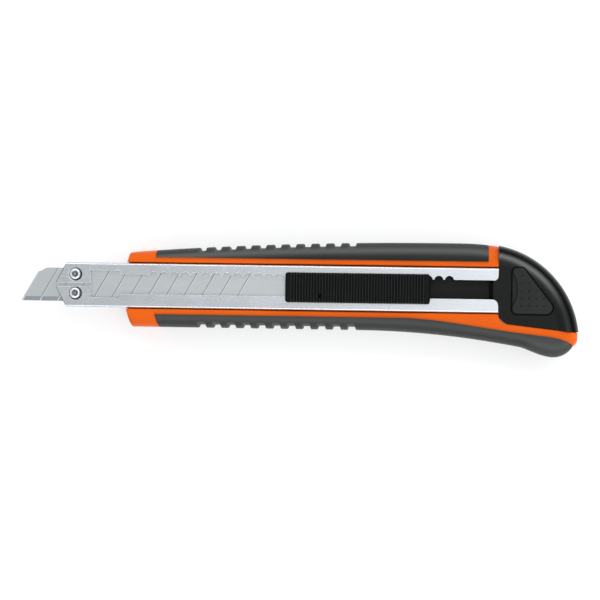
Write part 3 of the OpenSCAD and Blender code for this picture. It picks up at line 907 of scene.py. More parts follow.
@dataclass
class SoftGrip:
    """One overmoulded grip: a crowned shell with grooves along its outer edge."""

    lines: HandleLines
    name: str
    side: int
    proud: float = 0.4
    power: float = 2.7
    groove_pitch: float = 4.05
    groove_count: int = 11
    groove_depth: float = 0.85
    groove_start: float = 20.4
    groove_half: float = 1.15
    points: int = 52
    # Painted highlight on the grip: a band crest_at from the outer edge, from crest_low up to crest_high, and
    # crest_rise more towards the palm bulge
    crest_at: float = 2.1
    crest_low: float = 0.0
    crest_high: float = 1.0
    crest_rise: float = 0.0

    def grooves(self, x: np.ndarray) -> np.ndarray:
        """Depth of the grooves along X: flat-bottomed notches with eased flanks.

        Args:
            x: stations.

        Returns:
            Depth in millimetres at each station.
        """
        first = self.lines.front_x + self.groove_start
        n = np.clip(np.round((x - first) / self.groove_pitch), 0, self.groove_count - 1)
        away = np.abs(x - first - n * self.groove_pitch)
        return self.groove_depth * smooth((self.groove_half - away) / 0.42)

    def slant(self, x: np.ndarray, y: np.ndarray) -> np.ndarray:
        """Shift of the lower grip's slanted front end, fading out behind it.

        Args:
            x: stations, shape (n, 1).
            y: points' Y.

        Returns:
            Shift along X.
        """
        lean = 1.0 * np.clip((-y - self.lines.grip_y) / 3.5, 0.0, 1.0)
        return lean * (1 - smooth(np.abs(x - self.lines.lower_x[0]) / 5.0))

    def build(self) -> bpy.types.Object:
        """Builds the shell from rings across X, rounded at both ends.

        Returns:
            The grip.
        """
        lines = self.lines
        upper = self.side > 0
        x0, x1 = lines.upper_x if upper else lines.lower_x
        x1 = x1 if upper else x1 - 0.12
        grooved = (lines.front_x + self.groove_start - 2, lines.front_x + self.groove_start + 43)
        x = stations((x0, x0 + 0.6, 0.06), (x0 + 0.6, grooved[0], 0.5), (*grooved, 0.1),
                     (grooved[1], x1 - 5, 0.5), (x1 - 5, x1, 0.1))
        inner = np.full_like(x, lines.grip_y) if upper else lines.seam(x)
        outer = lines.back(x) if upper else lines.belly(x)
        outer = inner + self.side * np.maximum(self.side * (outer - inner), 0.05)
        top = lines.face_z + self.proud
        to_end = np.minimum(x - x0, x1 - x)
        edge = 0.3 if upper else 0.45 + 1.75 * smooth((x - x1 + 6) / 4)
        inset = edge * (1 - np.sqrt(1 - np.clip(1 - to_end / edge, 0, 1) ** 2))
        thin = 0.55 * smooth(1 - np.abs(outer - inner) / 2.0) if not upper else 0.0
        half = top / 2 - inset - thin
        pulled = inset if upper else np.where(x < x0 + 1, inset, 0.0)
        y, z = side_curve(inner, outer - self.side * np.minimum(pulled, 0.4), np.full_like(x, top / 2),
                          half, self.power, self.points)
        away = np.abs(outer[:, None] - y)
        near = smooth(1 - away / 2.1)
        # Painted highlight: a band where the crown would catch the light, over a level that is darker within
        # about a millimetre of the outer edge
        band = np.exp(-(((away - self.crest_at) / 1.0) ** 2))
        far = 1 - smooth((away - 0.2) / 1.0)
        low = self.crest_low + self.crest_rise * smooth((x - lines.dip_x) / 6)[:, None]
        crest = low * (1 - 0.35 * far) + (self.crest_high - self.crest_low) * band
        crest = np.concatenate([crest[:, :1]] * 2 + [crest] + [crest[:, -1:]] * 2, 1)
        y = y - self.side * self.grooves(x)[:, None] * near
        z = z - np.sign(z - top / 2) * 0.35 * self.grooves(x)[:, None] * near * (1 - near)
        lip = np.array([[-0.25, -0.9], [-0.02, -0.5]])
        front = [(inner + self.side * a, z[:, 0] + b) for a, b in lip]
        rear = [(inner + self.side * a, z[:, -1] - b) for a, b in lip[::-1]]
        y = np.concatenate([np.stack([p[0] for p in front], 1), y, np.stack([p[0] for p in rear], 1)], 1)
        z = np.concatenate([np.stack([p[1] for p in front], 1), z, np.stack([p[1] for p in rear], 1)], 1)
        grid_x = np.broadcast_to(x[:, None], y.shape)
        if not upper:
            grid_x = grid_x + self.slant(x[:, None], y)
        return surface_piece(self.name, np.stack([grid_x, y, z], -1), sharp_deg=50, crest=crest)


@dataclass
class Core:
    """The moulded core: rails, front end and tail, with pockets for the channel and the tray."""

    lines: HandleLines
    grip: SoftGrip
    step: float = 1.2
    inset: float = 1.3
    gap: float = 0.18
    side_points: int = 26

    def main_part(self) -> bpy.types.Object:
        """Builds the part in front of the end cap: one U-shaped ring at each station.

        Returns:
            The main part of the core.
        """
        lines, eps = self.lines, 0.012
        ux, lx = lines.upper_x, lines.lower_x
        tray, channel = node_box("magazine_tray"), node_box("blade_channel")
        pocket_x = float(tray.lo[0]) - 0.4
        x = stations((lines.front_x - 0.4, lines.front_x + 2.4, 0.07),
                     (lines.front_x + 2.4, lx[0] - eps, 0.5),
                     (lx[0] - eps, lx[0] + eps, eps), (lx[0] + eps, ux[0] - eps, 0.3),
                     (ux[0] - eps, ux[0] + eps, eps), (ux[0] + eps, ux[1] - eps, 1.0),
                     (ux[1] - eps, ux[1] + eps, eps), (ux[1] + eps, lines.cap_x, 0.3),
                     (pocket_x - eps, pocket_x + eps, eps))
        in_upper = (x > ux[0]) & (x < ux[1])
        in_lower = x > lx[0]
        z_top = lines.face_z
        soft = 0.5 * (1 - np.sqrt(1 - np.clip(1 - (x - lines.front_x + 0.4) / 0.5, 0, 1) ** 2))
        opening = np.full_like(x, lines.opening_y + self.gap)
        columns: list[tuple[np.ndarray, np.ndarray]] = []

        def add(y: np.ndarray | float, z: np.ndarray | float) -> None:
            """Adds one column of points, a value for each station."""
            columns.append((np.broadcast_to(y, x.shape), np.broadcast_to(z, x.shape)))

        def half_ring(side: int, silhouette: np.ndarray, edge: np.ndarray, covered: np.ndarray) -> None:
            """Adds the points from the face round one side to the back, stepped down under a grip."""
            drop = np.where(covered, self.step, 0.0)
            outer = np.where(covered, silhouette - side * self.inset, silhouette)
            outer = side * np.maximum(side * outer, side * edge + 0.03)
            y, z = side_curve(edge + side * 0.02, outer, np.full_like(x, z_top / 2),
                              z_top / 2 - drop - soft, self.grip.power, self.side_points)
            order = range(self.side_points) if side > 0 else range(self.side_points - 1, -1, -1)
            ends = [(edge, z_top - soft), (edge, np.full_like(x, soft))]
            if side > 0:
                add(*ends[0])
            else:
                add(*ends[1])
            for k in order:
                add(y[:, k], z[:, k])
            if side > 0:
                add(*ends[1])
            else:
                add(*ends[0])

        back, belly = lines.back(x), lines.belly(x)
        upper_edge = np.minimum(lines.grip_y, opening + 0.45 * np.maximum(back - opening, 0))
        front_edge = np.maximum(-lines.grip_y, -opening + 0.45 * np.minimum(belly + opening, 0))
        lower_edge = np.where(in_lower, lines.seam(x), front_edge)
        add(opening, z_top - 0.15 - soft)
        add(np.minimum(opening + 0.15, back), z_top - soft)
        half_ring(1, back, upper_edge, in_upper)
        half_ring(-1, belly, lower_edge, in_lower)
        add(np.maximum(-opening - 0.15, belly), z_top - soft)
        add(-opening, z_top - 0.15 - soft)
        floor_z = float(channel.lo[2])
        tray_y = float(tray.hi[1]) + 0.15
        deep = np.where(x > pocket_x, float(tray.lo[2]) - 0.15, floor_z)
        for y_part, z_part in ((-opening, floor_z), (-tray_y, floor_z), (-tray_y, deep), (tray_y, deep),
                               (tray_y, floor_z), (opening, floor_z)):
            add(y_part, z_part)
        y = np.stack([c[0] for c in columns], 1)
        z = np.stack([c[1] for c in columns], 1)
        rise = np.clip((y / lines.opening_y + 1) / 2, 0, 1)
        lean = (0.25 + 0.25 * rise) * (1 - smooth((x - x[0]) / 4.0))[:, None]
        grid_x = x[:, None] + lean + np.where(y < -lines.grip_y, self.grip.slant(x[:, None], y), 0.0)
        return surface_piece("core_body", np.stack([grid_x, y, z], -1), sharp_deg=35)

    def tail_part(self) -> bpy.types.Object:
        """Builds the tail strip between the end cap and the lower grip, rounded at its end.

        Returns:
            The tail of the core.
        """
        lines = self.lines
        end_x = lines.cap_x + 21.2
        grip_end = lines.cap_x + 19.8
        x = stations((lines.cap_x, lines.cap_x + 3.6, 0.15), (lines.cap_x + 3.6, grip_end, 0.6),
                     (grip_end, end_x, 0.05))
        covered = x < grip_end
        top = lines.cap_edge(x) - 0.08
        last = float(lines.seam(np.array([grip_end]))[0])
        turn = np.clip((x - grip_end) / (end_x - grip_end), 0, 1)
        seam = np.where(covered, lines.seam(x), last + (top - 0.3 - last) * turn)
        foot = np.array([(0.0, -3.55), (0.6, -3.3), (1.1, -2.8), (1.35, -2.2), (1.5, -1.3), (1.6, 0.0)])
        tail_y = np.interp(x - grip_end, foot[:, 0], self.lines.low_y + foot[:, 1])
        tail_y = np.minimum(tail_y, seam - 0.05)
        outer = np.where(covered, np.minimum(lines.belly(x) + self.inset, seam - 0.1), tail_y)
        drop = np.where(covered, self.step, 0.0)
        round_end = 1.6 * (1 - np.sqrt(1 - np.clip(1 - (end_x - x) / 1.6, 0, 1) ** 2))
        z_top = lines.face_z
        columns = [(top, z_top - 0.2 - round_end), (top - 0.2, z_top - round_end), (seam, z_top - round_end)]
        y, z = side_curve(seam - 0.02, outer, np.full_like(x, z_top / 2),
                          z_top / 2 - drop - round_end, self.grip.power, self.side_points)
        columns += [(y[:, k], z[:, k]) for k in range(self.side_points)]
        columns += [(seam, round_end), (top - 0.2, round_end), (top, 0.2 + round_end)]
        y = np.stack([c[0] for c in columns], 1)
        z = np.stack([c[1] for c in columns], 1)
        grid_x = np.broadcast_to(x[:, None], y.shape)
        return surface_piece("core_tail", np.stack([grid_x, y, z], -1), sharp_deg=35)


class Handle:
    """The handle: core and two soft grips."""

    def __init__(self, palette: Palette) -> None:
        """Takes the materials and works out the outlines."""
        self.palette = palette
        self.lines = HandleLines()

    def build(self) -> None:
        """Builds, dresses and settles the handle's pieces."""
        upper = SoftGrip(self.lines, "grip_upper_skin", 1)
        lower = SoftGrip(self.lines, "grip_lower_skin", -1, groove_half=1.27, crest_at=2.6,
                         crest_low=0.32, crest_high=0.6, crest_rise=0.2)
        core = Core(self.lines, lower)
        body, tail = core.main_part(), core.tail_part()
        for piece, slot, nodes in (
            (body, Slot.ORANGE, ["handle_core"]),
            (tail, Slot.ORANGE, ["handle_core"]),
            (upper.build(), Slot.GRIP, ["upper_grip"]),
            (lower.build(), Slot.GRIP, ["lower_grip"]),
        ):
            dress(piece, self.palette[slot])
            settle(piece, "handle", nodes)


# ---- Channel and nose ----


class Channel:
    """The folded steel channel and its rivets; the plates and block in its nose are dressed with the other
    CAD nodes.
    """

    edge_mm = 0.05
    bead_mm = 0.065
    notch_pitch = 2.85
    notch_r = 1.2

    def __init__(self, palette: Palette) -> None:
        """Takes the materials."""
        self.palette = palette

    def strip(self) -> bpy.types.Object:
        """Returns the channel with every sheared edge slightly broken, as stamping leaves it."""
        piece = merged_copy("blade_channel", "channel_strip")
        bevel(piece, self.edge_mm, 2, 40)
        even = piece.modifiers.new("even normals", "WEIGHTED_NORMAL")
        even.keep_sharp = True
        even.weight = 100
        return piece

    def upper_edge(self) -> np.ndarray:
        """Edge of the upper flange: slit, window, narrow slot, notches as arcs, and the round end.

        Returns:
            Points (x, y) from the nose to the rear.
        """
        box = node_box("blade_channel")
        nose, rear = float(box.lo[0]), float(box.hi[0])
        window, narrow, teeth = nose + 9.3, nose + 17.3, nose + 25.0
        count = math.floor((rear - teeth - 11.6) / self.notch_pitch)
        high, centre_y = 2.7, 2.55
        half = math.sqrt(self.notch_r**2 - (high - centre_y) ** 2)
        lift = math.atan2(high - centre_y, half)
        turn = np.linspace(math.pi - lift, lift, 15)
        centres = teeth + (np.arange(count) + 0.5) * self.notch_pitch
        arcs = np.stack([centres[:, None] + self.notch_r * np.cos(turn)[None, :],
                         np.broadcast_to(centre_y + self.notch_r * np.sin(turn)[None, :], (count, 15))], -1)
        end = np.radians(np.linspace(-90, 0, 9))
        corner = np.array([rear - 1.2, high + 1.2]) + 1.2 * np.stack([np.cos(end), np.sin(end)], 1)
        front = [(nose + 0.1, 0.5), (window, 0.5), (window, 3.6), (window + 0.35, 3.95), (narrow - 0.3, 3.95),
                 (narrow, 3.65), (narrow, 2.95), (teeth, 2.95), (teeth, high)]
        return np.concatenate([front, arcs.reshape(-1, 2), corner])

    def lower_edge(self) -> np.ndarray:
        """Edge of the lower flange: slit, window, slot and the round end.

        Returns:
            Points (x, y) from the nose to the rear.
        """
        box = node_box("blade_channel")
        nose, rear = float(box.lo[0]), float(box.hi[0])
        window, narrow, low = nose + 9.3, nose + 17.3, -2.4
        end = np.radians(np.linspace(90, 0, 9))
        corner = np.array([rear - 1.7, low - 1.7]) + 1.7 * np.stack([np.cos(end), np.sin(end)], 1)
        front = [(nose + 0.1, -0.5), (window, -0.5), (window, -2.9), (window + 0.35, -3.4),
                 (narrow - 0.3, -3.4), (narrow, -3.1), (narrow, low)]
        return np.concatenate([front, corner])

    def nose_line(self, strip: bpy.types.Object, side: int) -> np.ndarray:
        """Sloped end of one flange, read from the strip's top face.

        Args:
            strip: the channel.
            side: 1 for the upper flange, -1 for the lower one.

        Returns:
            Points (x, y) from the slit to the fold.
        """
        flat = np.empty(len(strip.data.vertices) * 3)
        strip.data.vertices.foreach_get("co", flat)
        points = flat.reshape(-1, 3) / MM
        box = node_box("blade_channel")
        face = points[:, 2] > box.hi[2] - 0.02
        near = face & (points[:, 0] < box.lo[0] + 5) & (side * points[:, 1] > 0.2)
        points = points[near][:, :2]
        corner = points[np.argmax(side * points[:, 1] - 0.4 * (points[:, 0] - box.lo[0]))]
        tips = points[points[:, 0] < box.lo[0] + 0.3]
        tips = tips[np.argsort(np.abs(tips[:, 1]))]
        return np.array([tips[0], tips[-1], corner]) - (0.04, 0.0)

    def bead(self, name: str, path: np.ndarray, side: int) -> bpy.types.Object:
        """Raises the rolled-over burr of a stamped edge: a half-round bead carried along the edge.

        Each path point moves into the sheet along the mean of its neighbours' normals.

        Args:
            name: the piece's name.
            path: points (x, y) of the edge.
            side: 1 if the sheet lies on the left of the path, -1 if on its right.

        Returns:
            The bead.
        """
        step = np.diff(path, axis=0)
        path = np.concatenate([path[:1], path[1:][np.linalg.norm(step, axis=1) > 1e-4]])
        step = np.diff(path, axis=0)
        step /= np.linalg.norm(step, axis=1)[:, None]
        normal = side * np.stack([-step[:, 1], step[:, 0]], 1)
        mean = np.concatenate([normal[:1], normal[:-1] + normal[1:], normal[-1:]])
        mean /= np.maximum(np.linalg.norm(mean, axis=1), 0.2)[:, None]
        face = float(node_box("blade_channel").hi[2])
        turn = np.radians(np.linspace(-100, 190, 11))
        out = 0.8 * self.bead_mm - self.bead_mm * np.cos(turn)
        rise = face - 0.45 * self.bead_mm + self.bead_mm * np.sin(turn)
        points = path[:, None, :] + mean[:, None, :] * out[None, :, None]
        z = np.broadcast_to(rise[None, :, None], (*points.shape[:2], 1))
        return surface_piece(name, np.concatenate([points, z], -1), sharp_deg=70)

    def rivet(self, index: int, centre: Sequence[float]) -> bpy.types.Object:
        """Turns one eyelet rivet: a profile of radius and height carried round its axis.

        Args:
            index: its number in its name.
            centre: X and Y of its axis.

        Returns:
            The rivet.
        """
        box = node_box("nose_rivets")
        top, low = float(box.hi[2]), float(box.lo[2])
        face = float(node_box("blade_channel").hi[2])
        dome = bezier([(1.5, face - 0.12), (1.6, face + 0.36), (1.38, top), (0.94, top)], 14)
        wall = [(0.86, top - 0.03), (0.8, top - 0.12), (0.8, low)]
        profile = np.concatenate([[(0.0, low), (0.75, low), (0.75, face - 0.14)], dome, wall, [(0.0, low)]])
        return self.turned(f"rivet_{index}", profile, centre)

    def dish(self, index: int, centre: Sequence[float]) -> bpy.types.Object:
        """Turns the dark hollow of an eyelet, with a ring-shaped burr left by the riveting tool.

        Args:
            index: its number in its name.
            centre: X and Y of its axis.

        Returns:
            The hollow.
        """
        top = float(node_box("nose_rivets").hi[2])
        profile = np.array([(0.0, top - 0.95), (0.83, top - 0.95), (0.83, top - 0.3), (0.74, top - 0.8),
                            (0.52, top - 0.8), (0.46, top - 0.34), (0.34, top - 0.16), (0.0, top - 0.13)])
        return self.turned(f"rivet_dish_{index}", profile, centre)

    def seat(self, index: int, centre: Sequence[float]) -> bpy.types.Object:
        """Turns a dark ring round a rivet, set a little towards +X and -Y: a painted shadow round its head.

        Args:
            index: its number in its name.
            centre: X and Y of its axis.

        Returns:
            The ring.
        """
        face = float(node_box("blade_channel").hi[2])
        profile = np.array([(1.1, face - 0.3), (1.1, face + 0.01), (1.5, face + 0.02), (1.7, face + 0.018),
                            (1.78, face + 0.004), (1.78, face - 0.3), (1.1, face - 0.3)])
        return self.turned(f"rivet_seat_{index}", profile, (centre[0] + 0.09, centre[1] - 0.07))

    def turned(self, name: str, profile: np.ndarray, centre: Sequence[float]) -> bpy.types.Object:
        """Carries a profile of radius and height round an upright axis.

        Args:
            name: the piece's name.
            profile: points (radius, z).
            centre: X and Y of the axis.

        Returns:
            The turned piece.
        """
        turn = np.radians(np.linspace(0, 360, 65))
        x = centre[0] + profile[None, :, 0] * np.cos(turn)[:, None]
        y = centre[1] + profile[None, :, 0] * np.sin(turn)[:, None]
        z = np.broadcast_to(profile[None, :, 1], x.shape)
        return surface_piece(name, np.stack([x, y, z], -1), closed=False, ends=False, sharp_deg=60)

    def build(self) -> None:
        """Builds, dresses and settles the channel's pieces."""
        strip = self.strip()
        dressed = [(strip, Slot.CHANNEL)]
        for name, edge, side in (("upper", self.upper_edge(), 1), ("lower", self.lower_edge(), -1)):
            dressed.append((self.bead(f"edge_{name}", edge, side), Slot.EDGE))
            # The beads along the nose's sloped ends are dark steel: painted shade along those edges
            dressed.append((self.bead(f"nose_{name}", self.nose_line(strip, side), -side), Slot.PAINTED_SHADE))
        for piece, slot in dressed:
            dress(piece, self.palette[slot])
            settle(piece, "handle", ["blade_channel"])
        box = node_box("nose_rivets")
        x = float(box.lo[0] + box.hi[0]) / 2
        head = float(box.hi[0] - box.lo[0]) / 2
        for index, y in enumerate((float(box.hi[1]) - head, float(box.lo[1]) + head), 1):
            for piece, slot in ((self.rivet(index, (x, y)), Slot.RIVET),
                                (self.seat(index, (x, y)), Slot.PAINTED_SHADE),
                                (self.dish(index, (x, y)), Slot.DISH)):
                dress(piece, self.palette[slot])
                settle(piece, "handle", ["nose_rivets"])


# ---- Slider ----


@dataclass
class ThumbSlider:
    """The ribbed thumb slider: a height map over a rounded outline, ribs across X."""

    palette: Palette
    corner: float = 0.75
    rib_pitch: float = 0.77
    rib_height: float = 0.55
    margin: float = 1.25
    edge: float = 0.4
    toe: float = 0.9
    across: int = 40
    hole_r: float = 0.62
    hole_depth: float = 1.8
    hole_at: tuple[float, float] = (9.4, 1.7)

    def build(self) -> None:
        """Builds, dresses and settles the slider."""
        box = node_box("thumb_slider")
        x0, x1 = float(box.lo[0]), float(box.hi[0]) - self.toe
        y0, y1 = float(box.lo[1]), float(box.hi[1])
        z0, z1 = float(box.lo[2]), float(box.hi[2])
        x = stations((x0, x0 + self.margin, 0.05), (x0 + self.margin, x1 - self.margin, self.rib_pitch / 10),
                     (x1 - self.margin, x1, 0.05))
        r = self.corner

        def round_in(t: np.ndarray) -> np.ndarray:
            """Distance by which a round corner of radius r pulls an edge in, t from the corner's end."""
            return r - np.sqrt(np.maximum(r * r - np.clip(r - t, 0, r) ** 2, 0.0))

        low = y0 + round_in(x - x0) + round_in(x1 - x)
        high = y1 - round_in(x - x0) - round_in(x1 - x)
        block = z1 - self.rib_height
        phase = (x - x0 - self.margin) / self.rib_pitch
        count = math.floor((x1 - x0 - 2 * self.margin) / self.rib_pitch)
        wave = 0.5 - 0.5 * np.cos(2 * np.pi * phase)
        rib = np.where((phase > 0) & (phase < count), smooth((wave - 0.25) / 0.5), 0.0)
        lift = smooth((x - x0 - 0.2) / 0.5) * smooth((x1 - x - 0.1) / 0.5)
        t = np.linspace(0.0, 1.0, self.across)[None, :]
        span = (high - low)[:, None]
        y = low[:, None] + span * (0.5 - 0.5 * np.cos(np.pi * t))
        away = np.minimum(y - low[:, None], high[:, None] - y)
        fade = smooth(away / 0.35)
        to_end = np.minimum(x - x0, x1 - x)[:, None]
        edge = np.minimum(away, to_end)
        fall = self.edge * (1 - np.sqrt(1 - np.clip(1 - edge / self.edge, 0, 1) ** 2))
        crown = 0.12 * (1 - (2 * t - 1) ** 2)
        z = block - 0.1 - fall + crown * lift[:, None] + (rib * lift)[:, None] * fade * self.rib_height
        ring_y = np.concatenate([low[:, None], y, high[:, None]], 1)
        ring_z = np.concatenate([np.full_like(low, z0)[:, None], z, np.full_like(low, z0)[:, None]], 1)
        grid_x = np.broadcast_to(x[:, None], ring_y.shape)
        # Painted highlight along the top of each rib, fading towards the block's sides
        shine = np.pad((rib * lift)[:, None] * fade, ((0, 0), (1, 1)))
        block_piece = surface_piece("slider_cap", np.stack([grid_x, ring_y, ring_z], -1), sharp_deg=50,
                                    crest=shine)
        turn = np.radians(np.linspace(0, 360, 25)[:-1])
        hole = np.array(self.hole_at) + (x0, y0) + self.hole_r * np.stack([np.cos(turn), np.sin(turn)], 1)
        cut_out(block_piece, hole, z1 - self.hole_depth, z1 + 1.0)
        toe_line = np.array([(x1 - 0.3, y1 - 1.0), (x1 - 0.3, y1 - 1.9), (x1 + self.toe, y1 - 1.9),
                             (x1 + self.toe, y1 - 1.5)])
        toe_rings = [np.column_stack([toe_line, np.full(4, z)]) for z in (z0, z0 + 0.85)]
        toe = surface_piece("slider_toe", np.stack(toe_rings), sharp_deg=30)
        bevel(toe, 0.1)
        for piece in (block_piece, toe):
            dress(piece, self.palette[Slot.RIB])
            settle(piece, "slider", ["thumb_slider"])


# ---- End cap ----


@dataclass
class EndCap:
    """The end cap: a round-edged shell on an arc, with a groove and a ridge, and its release button."""

    palette: Palette
    lines: HandleLines
    tip_deg: float = 6.6
    groove_at: float = 1.5
    groove_depth: float = 0.4
    ridge_at: float = 2.9
    flat_drop: float = 0.5

    def __post_init__(self) -> None:
        """Places the arc's centre from the cap's box."""
        box = node_box("end_cap")
        self.radius = 26.2
        self.centre = np.array([self.lines.cap_x - 4.6, self.lines.top_y - 0.18 - self.radius])
        self.top = float(box.hi[2])
        self.flat_z = self.top - self.flat_drop
        cap_x = self.lines.cap_x
        self.corners = [(cap_x + 3.6, -6.2), (cap_x + 16.4, -6.2), (cap_x + 6.6, 6.2), (cap_x + 3.6, 6.2)]
        self.radii = [1.3, 1.78, 1.6, 1.3]

    def face(self, rho: np.ndarray) -> np.ndarray:
        """Height of the face over the distance rho from the outer arc.

        A round lip falls off towards the arc, a narrow groove follows it, a broad ridge rises behind
        the groove and eases down to the flat middle.

        Args:
            rho: distance from the arc in millimetres.

        Returns:
            Z of the face.
        """
        lip = 1.5 * (1 - np.sqrt(1 - np.clip(1 - rho / 1.5, 0, 1) ** 2))
        groove = self.groove_depth * np.exp(-(((rho - self.groove_at) / 0.3) ** 2))
        ridge = np.sin(0.5 * np.pi * np.clip((rho - self.groove_at) / (self.ridge_at - self.groove_at), 0, 1))
        fall = smooth((rho - self.ridge_at) / 2.4)
        level = self.top - 0.55 + 0.55 * ridge - self.flat_drop * fall
        return level - lip - groove

    def ridge_light(self, rho: np.ndarray) -> np.ndarray:
        """Painted highlight along the ridge, as a bell over the distance rho from the outer arc.

        Args:
            rho: distance from the arc in millimetres.

        Returns:
            Strength from 0 to 1.
        """
        return np.exp(-(((rho - self.ridge_at + 0.25) / 0.72) ** 2))

    def shell(self) -> bpy.types.Object:
        """Builds the shell from closed sections, one along each ray from the arc's centre.

        Returns:
            The shell, with the button's hole cut through its face.
        """
        lines = self.lines
        front_deg = math.degrees(math.acos((lines.cap_x - self.centre[0]) / self.radius))
        turn = np.radians(np.linspace(self.tip_deg, front_deg, 190))
        reach = np.linspace(0.0, self.radius, 4000)
        inner = np.empty_like(turn)
        for i, a in enumerate(turn):
            px = self.centre[0] + reach * math.cos(a)
            py = self.centre[1] + reach * math.sin(a)
            inside = (px >= lines.cap_x) & (py >= lines.cap_edge(px))
            inner[i] = reach[np.argmax(inside)] if inside.any() else self.radius
        depth = np.maximum(self.radius - inner, 0.02)
        fine = np.concatenate([np.linspace(0, 1.5, 16), np.linspace(1.6, 6.0, 34)])
        far = np.linspace(0.0, 1.0, 30)[1:]
        near = np.minimum(fine[None, :], depth[:, None])
        last = near[:, -1:]
        rho = np.concatenate([near, last + (depth[:, None] - last) * far[None, :]], 1)
        z = self.face(rho)
        back_rho = np.concatenate([np.linspace(0.0, 1.6, 10), [3.0]])
        back = np.minimum(back_rho[None, :], depth[:, None])
        back = np.concatenate([back, depth[:, None]], 1)
        back_z = 1.4 * (1 - np.sqrt(1 - np.clip(1 - back / 1.4, 0, 1) ** 2))
        edge = 0.12
        ring_rho = np.concatenate([depth[:, None], rho[:, ::-1], back], 1)
        seam_z = z[:, -1:] - edge
        ring_z = np.concatenate([seam_z, z[:, ::-1], back_z], 1)
        r = self.radius - ring_rho
        x = self.centre[0] + r * np.cos(turn)[:, None]
        y = self.centre[1] + r * np.sin(turn)[:, None]
        # Painted highlight along the ridge and the rim, strongest where the arc faces up towards +Y, where
        # the light falls from
        upward = smooth((np.degrees(turn) - 20.0) / 32.0)[:, None]
        ridge = self.ridge_light(ring_rho) * (0.12 + 0.88 * upward)
        rim = smooth(1 - ring_rho / 0.9) * (0.7 + 0.3 * upward) * smooth((ring_z - self.top + 3.4) / 1.3)
        crest = np.where(ring_z > self.top / 2, ridge + rim, rim)
        piece = surface_piece("cap_shell", np.stack([x, y, ring_z], -1), sharp_deg=38, crest=crest)
        cut_out(piece, rounded_outline(self.corners, self.radii, 0.27), self.flat_z - 3.9, self.top + 2)
        return piece

    def tongue(self) -> bpy.types.Object:
        """Builds the tongue that fills the slot between the flanges' round corners.

        Returns:
            The tongue.
        """
        cap_x = self.lines.cap_x
        gap, high, low = 0.12, 2.7, -2.4
        up = np.radians(np.linspace(0, -90, 14))
        down = np.radians(np.linspace(90, 0, 14))
        first = np.array([cap_x - 1.2, high + 1.2]) + (1.2 + gap) * np.stack([np.cos(up), np.sin(up)], 1)
        second = np.array([cap_x - 1.7, low - 1.7]) + (1.7 + gap) * np.stack([np.cos(down), np.sin(down)], 1)
        front_x = float(node_box("end_cap").lo[0]) - 0.14
        outline = np.concatenate([
            [(cap_x + 0.7, high + 1.2)], first, [(front_x, high - gap), (front_x, low + gap)],
            second, [(cap_x + 0.7, low - 1.7)],
        ])
        z0, z1 = node_box("blade_channel").lo[2] + 0.7, self.flat_z + 0.004
        rings = [np.column_stack([outline, np.full(len(outline), z)]) for z in (z0, z1)]
        return surface_piece("cap_tongue", np.stack(rings), sharp_deg=30)

    def button(self) -> bpy.types.Object:
        """Builds the button: rings from its outline to its middle, over a height map.

        The top bulges a little, dips along the scallop's arc, and has small round pits.

        Returns:
            The button.
        """
        outline = rounded_outline(self.corners, self.radii, 0.0, 20)
        closed = np.concatenate([outline, outline[:1]])
        length = np.concatenate([[0], np.cumsum(np.linalg.norm(np.diff(closed, axis=0), axis=1))])
        even = np.linspace(0, length[-1], 300, endpoint=False)
        rim = np.stack([np.interp(even, length, closed[:, k]) for k in (0, 1)], 1)
        middle = np.array([self.lines.cap_x + 7.3, -1.9])
        inward = np.concatenate([np.linspace(0, 0.12, 12), np.linspace(0.13, 1.0, 66)])
        points = rim[None] + (middle - rim)[None] * inward[:, None, None]
        x, y = points[..., 0], points[..., 1]
        reach = np.linalg.norm(middle - rim, axis=1)[None, :]
        away = inward[:, None] * reach
        top = self.top + 0.25
        z = top - 0.45 * (1 - np.sqrt(1 - np.clip(1 - away / 0.45, 0, 1) ** 2))
        scallop = np.array([self.lines.cap_x + 5.15 - 8.9, 0.4])
        inside = 8.9 - np.hypot(x - scallop[0], y - scallop[1])
        z = z - 0.42 * smooth(inside / 0.28) - 0.1 * smooth(inside / 1.2)
        sink = smooth((x - self.lines.cap_x - 9.0) / 5.0)
        z = z - 0.3 * sink
        for count, row_y in ((1, 4.0), (2, 2.0), (3, 0.0), (4, -2.0), (4, -4.0)):
            for k in range(count):
                far = np.hypot(x - self.lines.cap_x - 6.1 - 2 * k, y - row_y)
                z = z - 0.2 * smooth(1 - (far - 0.12) / 0.2)
        base = np.full((1, rim.shape[0]), self.flat_z - 2.4)
        grid = np.concatenate([
            np.stack([rim[None, :, 0], rim[None, :, 1], base], -1),
            np.stack([x, y, z], -1)])
        # Painted highlight: the ridge's highlight carried on across the button, over a small even lift of its
        # colour
        rho = self.radius - np.hypot(grid[..., 0] - self.centre[0], grid[..., 1] - self.centre[1])
        return surface_piece("button_pad", grid, closed=True, ends=True, sharp_deg=50,
                             crest=0.1 + 0.5 * self.ridge_light(rho))

    def build(self) -> None:
        """Builds, dresses and settles the cap's pieces."""
        for piece, body, nodes in ((self.shell(), "cap", ["end_cap"]), (self.tongue(), "cap", ["end_cap"]),
                                   (self.button(), "button", ["release_button"])):
            dress(piece, self.palette[Slot.CAP])
            settle(piece, body, nodes)


# ---- CAD nodes that keep their shape ----


